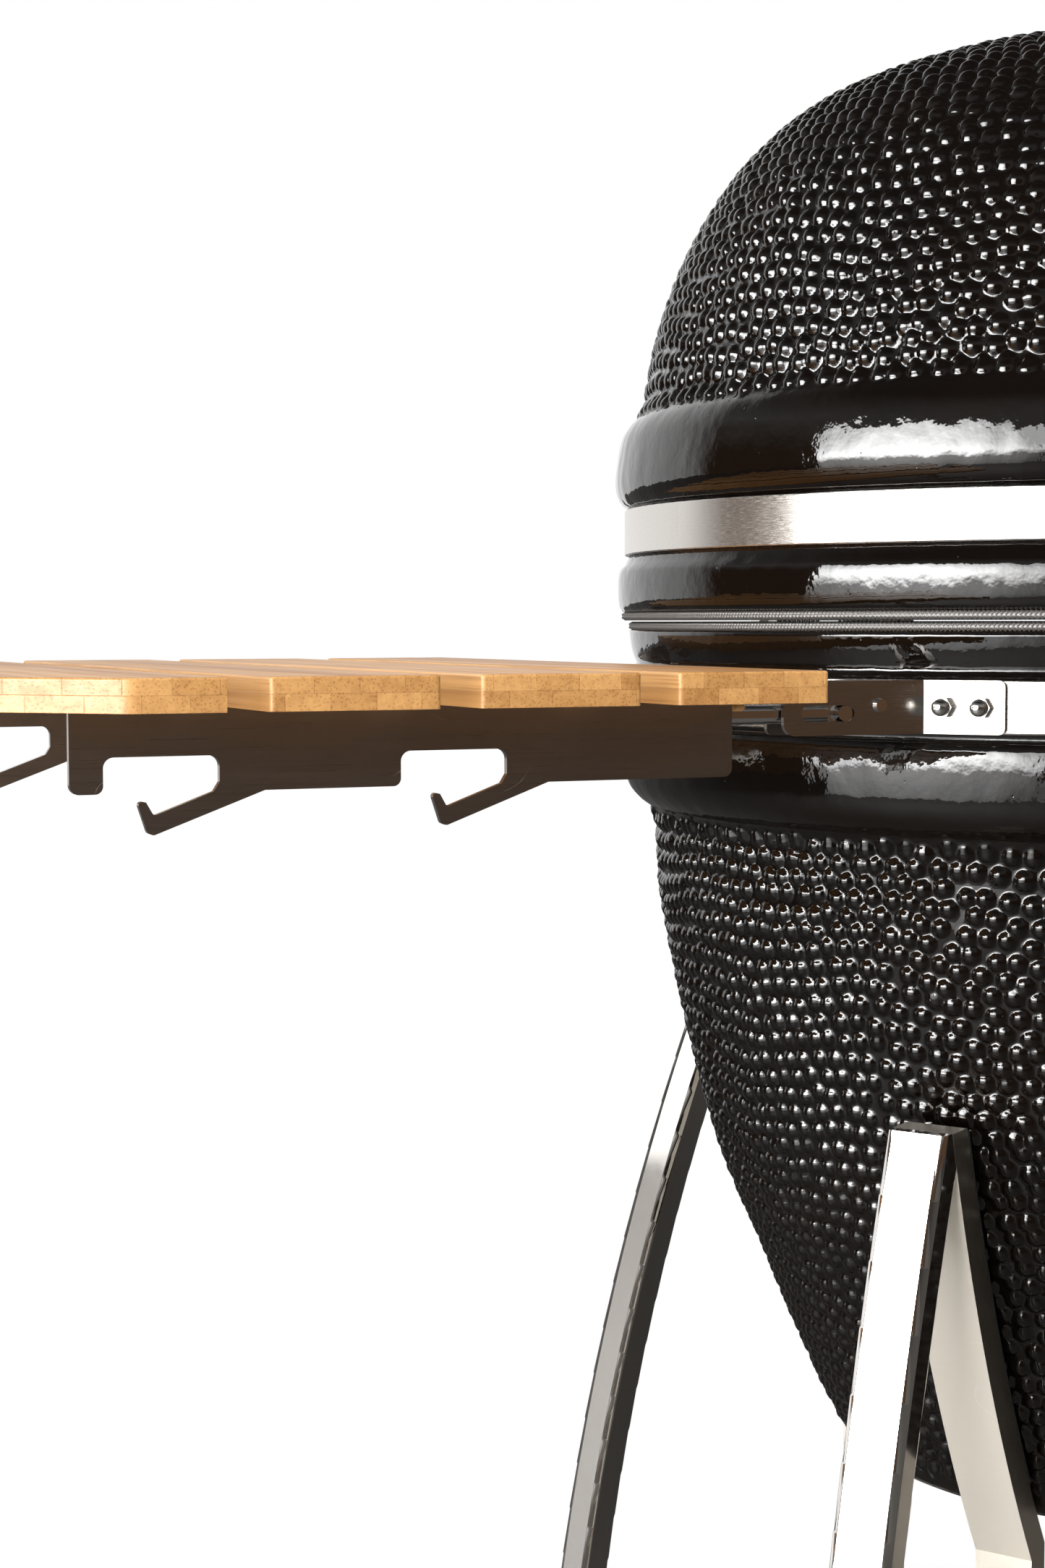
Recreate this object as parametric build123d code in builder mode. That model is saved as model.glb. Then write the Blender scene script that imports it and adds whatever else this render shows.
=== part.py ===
from build123d import *
import os
from math import asin, cos, degrees, hypot, radians, sin, sqrt

# Kamado ceramic grill on a four-legged stand, with two pull-out, fold-down bamboo shelves.
# Millimetres. The origin is on the floor, under the axis of the ceramic body.
# +Z is up, -Y is the front (handle and draft door), the shelves stand out along -X and +X.
# Heights of the body are given from the lid seam: up is positive.

# ---------------------------------------------------------------- driving dimensions
SEAM_Z = 900.0              # lid seam above the floor
BAND_R = 285.0              # outer radius of the two clamp bands
BAND_H = 25.0
BAND_T = 2.5
UPPER_BAND_Z = 36.5         # underside of the lid's band
LOWER_BAND_Z = -52.6        # underside of the base's band
SEAT_GAP = 0.2              # between a clamped metal piece and the glaze under it
WALL = 25.0                 # ceramic wall
GASKET_H = 5.0
GASKET_W = 21.0
GASKET_GAP = 0.2            # half of the daylight between the two closed gaskets

CROWN_Z = 317.0             # flat top of the dome
NECK_R = 44.0               # flat ring that carries the chimney
CHIMNEY_R = 34.0
FLANGE_R = 47.0             # widest the chimney and its cap get
PIVOT_R = 3.5
POT_FLOOR_Z = -466.0        # underside of the ceramic base
POT_FLOOR_R = 146.0

TUBE_W = 31.0               # stand tubes, across
LEG_D = 20.0                # stand tubes, deep
CRADLE_D = 17.0
TUBE_CORNER = 3.5
LEG_BEND_R = 1900.0         # outer face of a leg, upright at the floor
LEG_TOP_Z = -243.0
LEG_TOP_INSET = 6.0         # leg top inside the band radius
LEG_AZIMUTHS = {"front_left": 57.0, "rear_left": 147.0, "rear_right": 237.0, "front_right": 327.0}
KNEE_Z = -482.0             # where a cradle bar turns down
CROSS_TOP_Z = -650.0
CROSS_H = 24.0
CROSS_W = 26.0
PAD_T = 4.0
FOOT_H = 12.0

SHELF_TOP_Z = -21.3
SHELF_INNER_X = 327.0       # nearest slat edge to the axis
SHELF_LENGTH = 458.0        # along Y
SLAT_T = 13.8
SLAT_W = 71.4
SLAT_GAP = 17.4
SLAT_COUNT = 3              # plain slats, inside the wide outer one
OUTER_SLAT_W = 96.6
OUTER_SLAT_CORNER = 58.0
SLAT_EDGE = 2.0

PLATE_Y = 159.5             # hook plates and brackets, from the middle of the shelf
PLATE_T = 3.0
PLATE_H = 35.0
PLATE_INNER_X = 338.0
PLATE_OUTER_X = 640.0
HOOK_XS = (577.0, 448.0)    # inner side of each hook opening
HOOK_OPENING = 49.0
HOOK_OPENING_H = 15.0
HOOK_CORNER = 4.5

STRAP_T = 2.5
STRAP_OUTER_X = 312.0
CLEVIS_GAP = 12.5           # between a strap and its inner plate
PIN_X = 280.0
PIN_Z = -42.5
PIN_R = 3.65
RUN = 0.08                  # radial running clearance of pins
SLIDE_TRAVEL = 18.0
EYE_R = 7.0
ROD_R = 4.75
ROD_REACH = 46.0            # how far a rod is welded along its hook plate
ROD_FLAT = 0.3              # depth of the flat a rod is welded on
SPACER_X = 262.0
SPACER_Z = -39.0
SPACER_R = 2.0

HINGE_PIN_Y = 341.0
HINGE_PIN_Z = 5.0
HINGE_PIN_R = 5.0
HINGE_EAR_R = 11.0
HINGE_EAR_T = 4.0
LID_EAR_X = 46.0
EAR_STEP = 5.0              # base ears stand this far outside the lid ears
BRACKET_T = 3.0

GRIP_LENGTH = 290.0
GRIP_D = 26.0
GRIP_H = 30.0
GRIP_Y = 352.0              # front face of the handle
POST_X = 110.0
POST_T = 6.0

DRAFT_W = 120.0
DRAFT_H = 50.0
DRAFT_Z = -373.0            # middle of the draft opening
SLEEVE_T = 3.0
SLEEVE_DEPTH = 48.0
BOSS_Y = 226.0
BOSS_MARGIN = 17.0
RAIL_H = 10.0
DOOR_T = 2.5
DOOR_GAP = 0.4

DIAL_Z = 190.0              # thermometer, height of its stem hole
DIAL_R = 38.0
DIAL_DEPTH = 18.0
STEM_R = 4.0
STEM_LENGTH = 75.0

GRATE_R = 228.0
GRATE_T = 5.0
GRATE_PITCH = 17.0
FIRE_RING_TOP_Z = -22.0
FIRE_BOX_TOP_Z = -110.0
COALS_Z = -340.0            # floor of the fire box


def level(height):
    """Height above the floor of a height given from the lid seam."""
    return SEAM_Z + height


def polar(radius, azimuth):
    """Plan position; azimuth 0 is the front, 90 the left shelf."""
    return (-radius * sin(radians(azimuth)), -radius * cos(radians(azimuth)))


def radial_plane(azimuth):
    """Upright plane through the axis: local x points outwards, local y is height."""
    out = Vector(*polar(1, azimuth), 0)
    return Plane(origin=(0, 0, 0), x_dir=out, z_dir=out.cross(Vector(0, 0, 1)))


def surface_plane(radius, azimuth, height, tilt=0.0):
    """Plane that faces away from the axis, tilted up by tilt degrees."""
    out = Vector(*polar(1, azimuth), 0)
    normal = out * cos(radians(tilt)) + Vector(0, 0, sin(radians(tilt)))
    side = Vector(0, 0, 1).cross(out)
    return Plane(origin=(*polar(radius, azimuth), level(height)), x_dir=side, z_dir=normal)


def inset(points, depth):
    """The same open outline, moved square to itself: inwards if it is drawn upwards."""
    moved = []
    for k, (r, z) in enumerate(points):
        r0, z0 = points[max(k - 1, 0)]
        r1, z1 = points[min(k + 1, len(points) - 1)]
        run = hypot(r1 - r0, z1 - z0)
        moved.append((r - depth * (z1 - z0) / run, z + depth * (r1 - r0) / run))
    return moved


# outline of the dome from its shoulder up to the neck
DOME = [
    (BAND_R - 8.0, 113.0),
    (BAND_R - 11.5, 134.0),
    (BAND_R - 20.3, 170.0),
    (BAND_R - 37.1, 210.0),
    (BAND_R - 64.2, 250.0),
    (BAND_R - 100.0, 280.0),
    (BAND_R - 155.0, 301.0),
    (NECK_R + 32.0, 312.5),
]
# outline of the base from its lower ring down to the turn of the pot
BODY = [
    (BAND_R - 14.5, -103.0),
    (BAND_R - 19.1, -150.0),
    (BAND_R - 28.2, -200.0),
    (BAND_R - 39.7, -250.0),
    (BAND_R - 54.3, -300.0),
    (BAND_R - 75.5, -350.0),
    (BAND_R - 96.5, -400.0),
    (BAND_R - 116.0, -442.0),
]
BAND_SEAT_R = BAND_R - BAND_T - SEAT_GAP


def save(builder, name):
    builder.part.label = name
    export_step(builder.part, f"parts/{name}.step")


os.makedirs("parts", exist_ok=True)

# ---------------------------------------------------------------- ceramic lid
lid_rim = GASKET_H + GASKET_GAP
lid_inner = inset(DOME, WALL)
with BuildPart() as lid_shell:
    with BuildSketch(Plane.XZ):
        with BuildLine():
            Polyline(
                (BAND_R - 27.0, level(lid_rim)),
                (BAND_R + 1.5, level(lid_rim)),
                (BAND_R + 3.6, level(12.0)),
                (BAND_R + 3.6, level(26.0)),
                (BAND_R - 1.0, level(31.0)),
                (BAND_R - 1.0, level(UPPER_BAND_Z - 1.0)),
                (BAND_SEAT_R, level(UPPER_BAND_Z - 1.0)),
                (BAND_SEAT_R, level(UPPER_BAND_Z + BAND_H + 1.0)),
                (BAND_R + 1.0, level(UPPER_BAND_Z + BAND_H + 2.5)),
            )
            Spline(
                (BAND_R + 1.0, level(UPPER_BAND_Z + BAND_H + 2.5)),
                (BAND_R + 4.8, level(72.0)),
                (BAND_R + 4.6, level(85.0)),
                (BAND_R + 1.5, level(101.0)),
                (DOME[0][0], level(DOME[0][1])),
            )
            Spline(*[(r, level(z)) for r, z in DOME])
            Polyline(
                (DOME[-1][0], level(DOME[-1][1])),
                (NECK_R + 2.0, level(CROWN_Z)),
                (CHIMNEY_R, level(CROWN_Z)),
                (CHIMNEY_R, level(lid_inner[-1][1])),
                (lid_inner[-1][0], level(lid_inner[-1][1])),
            )
            Spline(*[(r, level(z)) for r, z in reversed(lid_inner)])
            Polyline(
                (lid_inner[0][0], level(lid_inner[0][1])),
                (BAND_R - 27.0, level(80.0)),
                (BAND_R - 27.0, level(lid_rim)),
            )
        make_face()
    revolve(axis=Axis.Z)
    dial_tilt = 22.0
    dial_r = BAND_R - 28.2
    with BuildSketch(surface_plane(dial_r, 0, DIAL_Z, dial_tilt).offset(20)):
        Circle(STEM_R + 0.3)
    extrude(amount=-70, mode=Mode.SUBTRACT)
save(lid_shell, "lid_shell")

# ---------------------------------------------------------------- ceramic base
base_rim = -GASKET_H - GASKET_GAP
base_inner = inset(BODY, -WALL)
draft_low = DRAFT_Z - DRAFT_H / 2
draft_high = DRAFT_Z + DRAFT_H / 2
with BuildPart() as base_shell:
    with BuildSketch(Plane.XZ):
        with BuildLine():
            Polyline(
                (0, level(base_rim)),
                (BAND_R - 2.5, level(base_rim)),
                (BAND_R - 3.3, level(-12.7)),
                (BAND_R - 5.0, level(-19.5)),
                (BAND_R - 6.6, level(-23.0)),
                (BAND_SEAT_R, level(LOWER_BAND_Z + BAND_H + 1.0)),
                (BAND_SEAT_R, level(LOWER_BAND_Z - 1.0)),
                (BAND_R - 4.0, level(LOWER_BAND_Z - 2.5)),
                (BAND_R - 0.7, level(LOWER_BAND_Z - 6.5)),
                (BAND_R - 0.7, level(-87.0)),
                (BODY[0][0], level(BODY[0][1])),
            )
            Spline(*[(r, level(z)) for r, z in BODY])
            Polyline(
                (BODY[-1][0], level(BODY[-1][1])),
                (BODY[-1][0] - 9.0, level(BODY[-1][1] - 14.0)),
                (POT_FLOOR_R, level(POT_FLOOR_Z)),
                (0, level(POT_FLOOR_Z)),
                (0, level(base_rim)),
            )
        make_face()
    revolve(axis=Axis.Z)
    boss_w = DRAFT_W + 2 * SLEEVE_T + 2 * BOSS_MARGIN
    boss_h = DRAFT_H + 2 * SLEEVE_T + 2 * (RAIL_H + 2)
    with BuildSketch(Plane.XZ.offset(100)):
        with Locations((0, level(DRAFT_Z))):
            RectangleRounded(boss_w, boss_h, 8)
    extrude(amount=BOSS_Y - 100)
    with BuildSketch(Plane.XZ):
        with BuildLine():
            Line((0, level(base_rim)), (BAND_R - 27.0, level(base_rim)))
            Line((BAND_R - 27.0, level(base_rim)), (base_inner[0][0], level(base_inner[0][1])))
            Spline(*[(r, level(z)) for r, z in base_inner])
            Polyline(
                (base_inner[-1][0], level(base_inner[-1][1])),
                (POT_FLOOR_R - 16.0, level(POT_FLOOR_Z + WALL)),
                (0, level(POT_FLOOR_Z + WALL)),
                (0, level(base_rim)),
            )
        make_face()
    revolve(axis=Axis.Z, mode=Mode.SUBTRACT)
    with BuildSketch(Plane.XZ.offset(BOSS_Y + 1)):
        with Locations((0, level(DRAFT_Z))):
            Rectangle(DRAFT_W + 2 * SLEEVE_T + 2 * SEAT_GAP, DRAFT_H + 2 * SLEEVE_T + 2 * SEAT_GAP)
    extrude(amount=-100, mode=Mode.SUBTRACT)
save(base_shell, "base_shell")

# ---------------------------------------------------------------- gaskets and bands
for name, low in (("lid_gasket", GASKET_GAP), ("base_gasket", -GASKET_H - GASKET_GAP)):
    with BuildPart() as gasket:
        with BuildSketch(Plane.XY.offset(level(low))):
            Circle(BAND_R + 2.0 if name == "lid_gasket" else BAND_R - 2.0)
            Circle(BAND_R - GASKET_W, mode=Mode.SUBTRACT)
        extrude(amount=GASKET_H)
        outer_edges = gasket.edges().filter_by(GeomType.CIRCLE).sort_by(SortBy.RADIUS)[-2:]
        fillet(outer_edges, radius=1.8)
    save(gasket, name)

for name, low in (("upper_band", UPPER_BAND_Z), ("lower_band", LOWER_BAND_Z)):
    with BuildPart() as band:
        with BuildSketch(Plane.XY.offset(level(low))):
            Circle(BAND_R)
            Circle(BAND_R - BAND_T, mode=Mode.SUBTRACT)
        extrude(amount=BAND_H)
        rim_edges = band.edges().filter_by(GeomType.CIRCLE).sort_by(SortBy.RADIUS)[-2:]
        fillet(rim_edges, radius=0.8)
    save(band, name)

# ---------------------------------------------------------------- inside the base
with BuildPart() as fire_box:
    with BuildSketch(Plane.XZ):
        with BuildLine():
            Polyline(
                (BAND_R - 53.0, level(FIRE_BOX_TOP_Z - 0.7)),
                (BAND_R - 72.0, level(-230.0)),
                (BAND_R - 140.0, level(COALS_Z - 60.0)),
                (POT_FLOOR_R - 22.0, level(POT_FLOOR_Z + WALL + 0.3)),
                (POT_FLOOR_R - 44.0, level(POT_FLOOR_Z + WALL + 0.3)),
                (POT_FLOOR_R - 36.0, level(COALS_Z - 22.0)),
                (70.0, level(COALS_Z - 22.0)),
                (70.0, level(COALS_Z)),
                (BAND_R - 158.0, level(COALS_Z)),
                (BAND_R - 97.0, level(-230.0)),
                (BAND_R - 78.0, level(FIRE_BOX_TOP_Z - 0.7)),
                close=True,
            )
        make_face()
    revolve(axis=Axis.Z)
    with BuildSketch(Plane.XZ.offset(50)):
        with Locations((0, level(DRAFT_Z - 8.0))):
            Rectangle(70, 34)
    extrude(amount=200, mode=Mode.SUBTRACT)
save(fire_box, "fire_box")

with BuildPart() as fire_ring:
    with BuildSketch(Plane.XY.offset(level(FIRE_BOX_TOP_Z))):
        Circle(BAND_R - 50.0)
        Circle(BAND_R - 78.0, mode=Mode.SUBTRACT)
    extrude(amount=FIRE_RING_TOP_Z - FIRE_BOX_TOP_Z)
    chamfer(fire_ring.edges().group_by(Axis.Z)[-1], length=3)
save(fire_ring, "fire_ring")

with BuildPart() as charcoal_grate:
    with BuildSketch(Plane.XY.offset(level(COALS_Z + 0.3))):
        Circle(88)
        with GridLocations(18, 0, 7, 1):
            SlotOverall(90, 8, rotation=90, mode=Mode.SUBTRACT)
    extrude(amount=12)
save(charcoal_grate, "charcoal_grate")

with BuildPart() as cooking_grate:
    with BuildSketch(Plane.XY.offset(level(FIRE_RING_TOP_Z + 0.3))):
        Circle(GRATE_R)
        Circle(GRATE_R - 7, mode=Mode.SUBTRACT)
        bar_count = int((GRATE_R - 16) / GRATE_PITCH)
        for k in range(-bar_count, bar_count + 1):
            half = sqrt((GRATE_R - 3) ** 2 - (k * GRATE_PITCH) ** 2)
            with Locations((k * GRATE_PITCH, 0)):
                Rectangle(5, 2 * half)
        Rectangle(2 * GRATE_R - 8, 6)
    extrude(amount=GRATE_T)
save(cooking_grate, "cooking_grate")

# ---------------------------------------------------------------- draft frame, screen and door
frame_back_y = BOSS_Y - SLEEVE_DEPTH
with BuildPart() as draft_frame:
    with BuildSketch(Plane.XZ.offset(BOSS_Y + 0.3)):
        with Locations((0, level(DRAFT_Z))):
            RectangleRounded(boss_w - 4, boss_h - 4, 6)
            Rectangle(DRAFT_W, DRAFT_H, mode=Mode.SUBTRACT)
    extrude(amount=SLEEVE_T)
    with BuildSketch(Plane.XZ.offset(frame_back_y)):
        with Locations((0, level(DRAFT_Z))):
            Rectangle(DRAFT_W + 2 * SLEEVE_T, DRAFT_H + 2 * SLEEVE_T)
            Rectangle(DRAFT_W, DRAFT_H, mode=Mode.SUBTRACT)
    extrude(amount=BOSS_Y + 0.3 - frame_back_y)
    rail_front = BOSS_Y + 0.3 + SLEEVE_T + 2 * DOOR_GAP + DOOR_T + 2.0
    with BuildSketch(Plane.XZ.offset(BOSS_Y + 0.3 + SLEEVE_T)):
        for sign in (-1, 1):
            with Locations((0, level(DRAFT_Z + sign * (DRAFT_H / 2 + RAIL_H / 2)))):
                Rectangle(boss_w - 12, RAIL_H)
    extrude(amount=rail_front - BOSS_Y - 0.3 - SLEEVE_T)
    with BuildSketch(Plane.XZ.offset(BOSS_Y + 0.3 + SLEEVE_T)):
        with Locations((0, level(DRAFT_Z))):
            Rectangle(boss_w, DRAFT_H + 2 * RAIL_H - 8)
    extrude(amount=DOOR_T + 2 * DOOR_GAP, mode=Mode.SUBTRACT)
save(draft_frame, "draft_frame")

door_h = DRAFT_H + 2 * RAIL_H - 8 - 2 * DOOR_GAP
with BuildPart() as draft_door:
    with BuildSketch(Plane.XZ.offset(BOSS_Y + 0.3 + SLEEVE_T + DOOR_GAP)):
        with Locations((0, level(DRAFT_Z))):
            Rectangle(DRAFT_W + 12, door_h)
    extrude(amount=DOOR_T)
    with BuildSketch(Plane.XZ.offset(BOSS_Y + 0.3 + SLEEVE_T + DOOR_GAP + DOOR_T)):
        with Locations((DRAFT_W / 2 - 12, level(DRAFT_Z))):
            Circle(4)
    extrude(amount=8)
    with BuildSketch(Plane.XZ.offset(BOSS_Y + 0.3 + SLEEVE_T + DOOR_GAP + DOOR_T + 8)):
        with Locations((DRAFT_W / 2 - 12, level(DRAFT_Z))):
            Circle(9)
    extrude(amount=7)
    fillet(draft_door.faces().sort_by(Axis.Y)[0].edges(), radius=2)
save(draft_door, "draft_door")

with BuildPart() as draft_screen:
    with BuildSketch(Plane.XZ.offset(BOSS_Y - 20)):
        with Locations((0, level(DRAFT_Z))):
            Rectangle(DRAFT_W - 0.6, DRAFT_H - 0.6)
            with GridLocations(8, 8, 13, 5):
                Circle(2.6, mode=Mode.SUBTRACT)
    extrude(amount=1.5)
save(draft_screen, "draft_screen")

with BuildPart() as draft_screws:
    with BuildSketch(Plane.XZ.offset(BOSS_Y + 0.3 + SLEEVE_T)):
        for sign in (-1, 1):
            with Locations((boss_w / 2 - 6, level(DRAFT_Z + sign * 14))):
                Circle(3.2)
    extrude(amount=2.2)
    fillet(draft_screws.edges().group_by(Axis.Y)[0], radius=1.2)
save(draft_screws, "draft_screws")

# ---------------------------------------------------------------- stand
leg_top_r = BAND_R - LEG_TOP_INSET
leg_height = level(LEG_TOP_Z)
leg_foot_r = leg_top_r + LEG_BEND_R - sqrt(LEG_BEND_R**2 - leg_height**2)


def leg_r(height_above_floor, inset_by=0.0):
    """Radius of the leg's outer face, or of a face that lies inset_by inside it."""
    bend = LEG_BEND_R - inset_by
    return leg_foot_r - LEG_BEND_R + sqrt(bend**2 - height_above_floor**2)


# outer face of a cradle bar: it leaves the leg, runs beside the pot and turns down at the knee
cradle_top = (leg_top_r - 7.0, level(LEG_TOP_Z))
cradle_mid = (BAND_R - 73.0, level(-403.0))
cradle_knee = (BAND_R - 115.5, level(KNEE_Z))
cradle_inner = [
    Vector(cradle_top[0] - CRADLE_D, cradle_top[1]),
    Vector(cradle_mid[0] - CRADLE_D / cos(radians(26)), cradle_mid[1]),
    Vector(cradle_knee[0] - CRADLE_D, cradle_knee[1] + CRADLE_D * 0.28),
]

for place, azimuth in LEG_AZIMUTHS.items():
    with BuildPart() as leg:
        with BuildSketch(radial_plane(azimuth)):
            with BuildLine():
                half = (leg_height + FOOT_H) / 2
                ThreePointArc((leg_r(FOOT_H), FOOT_H), (leg_r(half), half), (leg_r(leg_height), leg_height))
                Line((leg_r(leg_height), leg_height), (leg_r(leg_height, LEG_D), leg_height))
                ThreePointArc(
                    (leg_r(leg_height, LEG_D), leg_height),
                    (leg_r(half, LEG_D), half),
                    (leg_r(FOOT_H, LEG_D), FOOT_H),
                )
                Line((leg_r(FOOT_H, LEG_D), FOOT_H), (leg_r(FOOT_H), FOOT_H))
            make_face()
        extrude(amount=TUBE_W / 2, both=True)
        long_edges = leg.edges().filter_by(lambda edge: edge.length > leg_height * 0.8)
        fillet(long_edges, radius=TUBE_CORNER)
        with BuildSketch(radial_plane(azimuth)):
            with BuildLine():
                weld = [Vector(*point) + Vector(0.1, 0) for point in (cradle_top, cradle_mid, cradle_knee)]
                ThreePointArc(*weld)
                Polyline(weld[2], (0, weld[2].Y), (0, weld[0].Y + 1), weld[0] + Vector(0, 1), weld[0])
            make_face()
        extrude(amount=TUBE_W, both=True, mode=Mode.SUBTRACT)
    save(leg, f"leg_{place}")

cross_top = level(CROSS_TOP_Z)
for place, azimuth in LEG_AZIMUTHS.items():
    with BuildPart() as cradle:
        with BuildSketch(radial_plane(azimuth)):
            with BuildLine():
                ThreePointArc(*cradle_inner)
                Line(cradle_inner[0], cradle_top)
                ThreePointArc(cradle_top, cradle_mid, cradle_knee)
                Polyline(
                    cradle_knee,
                    (cradle_knee[0], cross_top),
                    (cradle_knee[0] - CRADLE_D, cross_top),
                    cradle_inner[2],
                )
            make_face()
        extrude(amount=TUBE_W / 2, both=True)
    save(cradle, f"cradle_{place}")

pad_low = level(-440.0)
pad_high = level(LEG_TOP_Z - 2.0)
pad_back = [point - Vector(0.1, 0) for point in cradle_inner]
pad_face = [point - Vector(PAD_T, 0) for point in pad_back]
with BuildPart() as cradle_pads:
    for azimuth in LEG_AZIMUTHS.values():
        with BuildSketch(radial_plane(azimuth)):
            with BuildLine():
                ThreePointArc(*pad_back)
                Line(pad_back[2], pad_face[2])
                ThreePointArc(*reversed(pad_face))
                Line(pad_face[0], pad_back[0])
            make_face()
            with Locations((leg_top_r / 2, (pad_low + pad_high) / 2)):
                Rectangle(leg_top_r * 2, pad_high - pad_low, mode=Mode.INTERSECT)
        extrude(amount=TUBE_W / 2 - 1, both=True)
    glaze = inset(BODY, -0.5)
    with BuildSketch(Plane.XZ):
        with BuildLine():
            Spline(*[(r, level(z)) for r, z in glaze])
            Polyline(
                (glaze[-1][0], level(glaze[-1][1])),
                (0, level(glaze[-1][1])),
                (0, level(glaze[0][1])),
                (glaze[0][0], level(glaze[0][1])),
            )
        make_face()
    revolve(axis=Axis.Z, mode=Mode.SUBTRACT)
save(cradle_pads, "cradle_pads")

with BuildPart() as cross_bars:
    for azimuth in LEG_AZIMUTHS.values():
        low = cross_top - CROSS_H
        with BuildSketch(radial_plane(azimuth)):
            with BuildLine():
                Polyline(
                    (0, low),
                    (leg_r(low, LEG_D) - 0.1, low),
                    (leg_r(cross_top, LEG_D) - 0.1, cross_top),
                    (0, cross_top),
                    close=True,
                )
            make_face()
        extrude(amount=CROSS_W / 2, both=True)
save(cross_bars, "cross_bars")

with BuildPart() as foot_plugs:
    for azimuth in LEG_AZIMUTHS.values():
        middle = leg_foot_r - LEG_D / 2
        under_leg = Plane(origin=(*polar(middle, azimuth), 0), x_dir=(*polar(1, azimuth), 0), z_dir=(0, 0, 1))
        with BuildSketch(under_leg):
            RectangleRounded(LEG_D, TUBE_W, TUBE_CORNER)
        extrude(amount=FOOT_H - 0.1)
save(foot_plugs, "foot_plugs")

# ---------------------------------------------------------------- shelf brackets
bracket_low = level(LOWER_BAND_Z)
strap_y = PLATE_Y + 1.0
inner_plate_y = PLATE_Y - STRAP_T - CLEVIS_GAP
tab_r = BAND_R + SEAT_GAP
slot_middle = PIN_X + SLIDE_TRAVEL / 2
slot_length = SLIDE_TRAVEL + 2 * PIN_R + 2.4
NUT_AZIMUTHS = (50.2, 53.8)
TAB_AZIMUTHS = (48.0, degrees(asin(PLATE_Y / BAND_R)) * -1 + 90.0)


def clevis_cuts(plane_y, sign_x, sign_y):
    """Slot for the shelf pin and hole for the spacer screw, through one bracket plate."""
    with BuildSketch(Plane.XZ.offset(-sign_y * plane_y)) as cuts:
        with Locations((sign_x * slot_middle, level(PIN_Z))):
            SlotOverall(slot_length, 2 * (PIN_R + RUN))
        with Locations((sign_x * SPACER_X, level(SPACER_Z))):
            Circle(SPACER_R)
    extrude(cuts.sketch, amount=2 * STRAP_T, both=True, mode=Mode.SUBTRACT)


CORNERS = [
    ("left", "front", -1, -1),
    ("left", "rear", -1, 1),
    ("right", "front", 1, -1),
    ("right", "rear", 1, 1),
]
for side, end, sign_x, sign_y in CORNERS:
    with BuildPart() as strap:
        with BuildSketch(Plane.XY.offset(bracket_low)):
            strap_inner_x = sqrt((tab_r + STRAP_T / 2) ** 2 - strap_y**2)
            with Locations((sign_x * (STRAP_OUTER_X + strap_inner_x) / 2, sign_y * strap_y)):
                Rectangle(STRAP_OUTER_X - strap_inner_x, STRAP_T)
            with BuildLine():
                points = []
                for azimuth in (TAB_AZIMUTHS[1], (TAB_AZIMUTHS[0] + TAB_AZIMUTHS[1]) / 2, TAB_AZIMUTHS[0]):
                    points.append((sin(radians(azimuth)) * sign_x, cos(radians(azimuth)) * sign_y))
                inner = [(x * tab_r, y * tab_r) for x, y in points]
                outer = [(x * (tab_r + STRAP_T), y * (tab_r + STRAP_T)) for x, y in points]
                ThreePointArc(*inner)
                Line(inner[2], outer[2])
                ThreePointArc(*reversed(outer))
                Line(outer[0], inner[0])
            make_face()
        extrude(amount=BAND_H)
        upright = strap.edges().filter_by(Axis.Y).filter_by(lambda e: abs(e.center().X) > STRAP_OUTER_X - 1)
        fillet(upright, radius=6)
        across = strap.edges().filter_by(lambda e: abs(e.length - STRAP_T) < 0.01)
        fillet(across.sort_by(lambda e: abs(e.center().X))[:2], radius=3)
        clevis_cuts(strap_y, sign_x, sign_y)
    save(strap, f"strap_{side}_{end}")

with BuildPart() as clevis_plates:
    for side, end, sign_x, sign_y in CORNERS:
        root_x = sqrt((tab_r + 0.1) ** 2 - (inner_plate_y - STRAP_T / 2) ** 2)
        with BuildSketch(Plane.XZ.offset(-sign_y * (inner_plate_y - STRAP_T / 2))):
            with Locations((sign_x * (STRAP_OUTER_X + root_x) / 2, level(LOWER_BAND_Z) + BAND_H / 2)):
                RectangleRounded(STRAP_OUTER_X - root_x, BAND_H, 3)
            with Locations((sign_x * slot_middle, level(PIN_Z))):
                SlotOverall(slot_length, 2 * (PIN_R + RUN), mode=Mode.SUBTRACT)
            with Locations((sign_x * SPACER_X, level(SPACER_Z))):
                Circle(SPACER_R, mode=Mode.SUBTRACT)
        extrude(amount=-sign_y * STRAP_T)
save(clevis_plates, "clevis_plates")


def acorn_nut(plane):
    """Cap nut that stands on a plane: six-sided foot, round cap."""
    with BuildSketch(plane) as foot:
        RegularPolygon(radius=5.2, side_count=6)
    extrude(foot.sketch, amount=4)
    with BuildSketch(plane.offset(4)) as crown:
        Circle(4.2)
    cap = extrude(crown.sketch, amount=4.4, mode=Mode.PRIVATE)
    add(cap.fillet(3.6, cap.faces().sort_by(Axis(plane.origin, plane.z_dir))[-1].edges()))


with BuildPart() as acorn_nuts:
    for side, end, sign_x, sign_y in CORNERS:
        for azimuth in NUT_AZIMUTHS:
            around = azimuth if sign_x < 0 else -azimuth
            around = around if sign_y < 0 else 180 - around
            acorn_nut(surface_plane(tab_r + STRAP_T, around, LOWER_BAND_Z + BAND_H / 2))
save(acorn_nuts, "acorn_nuts")

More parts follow.
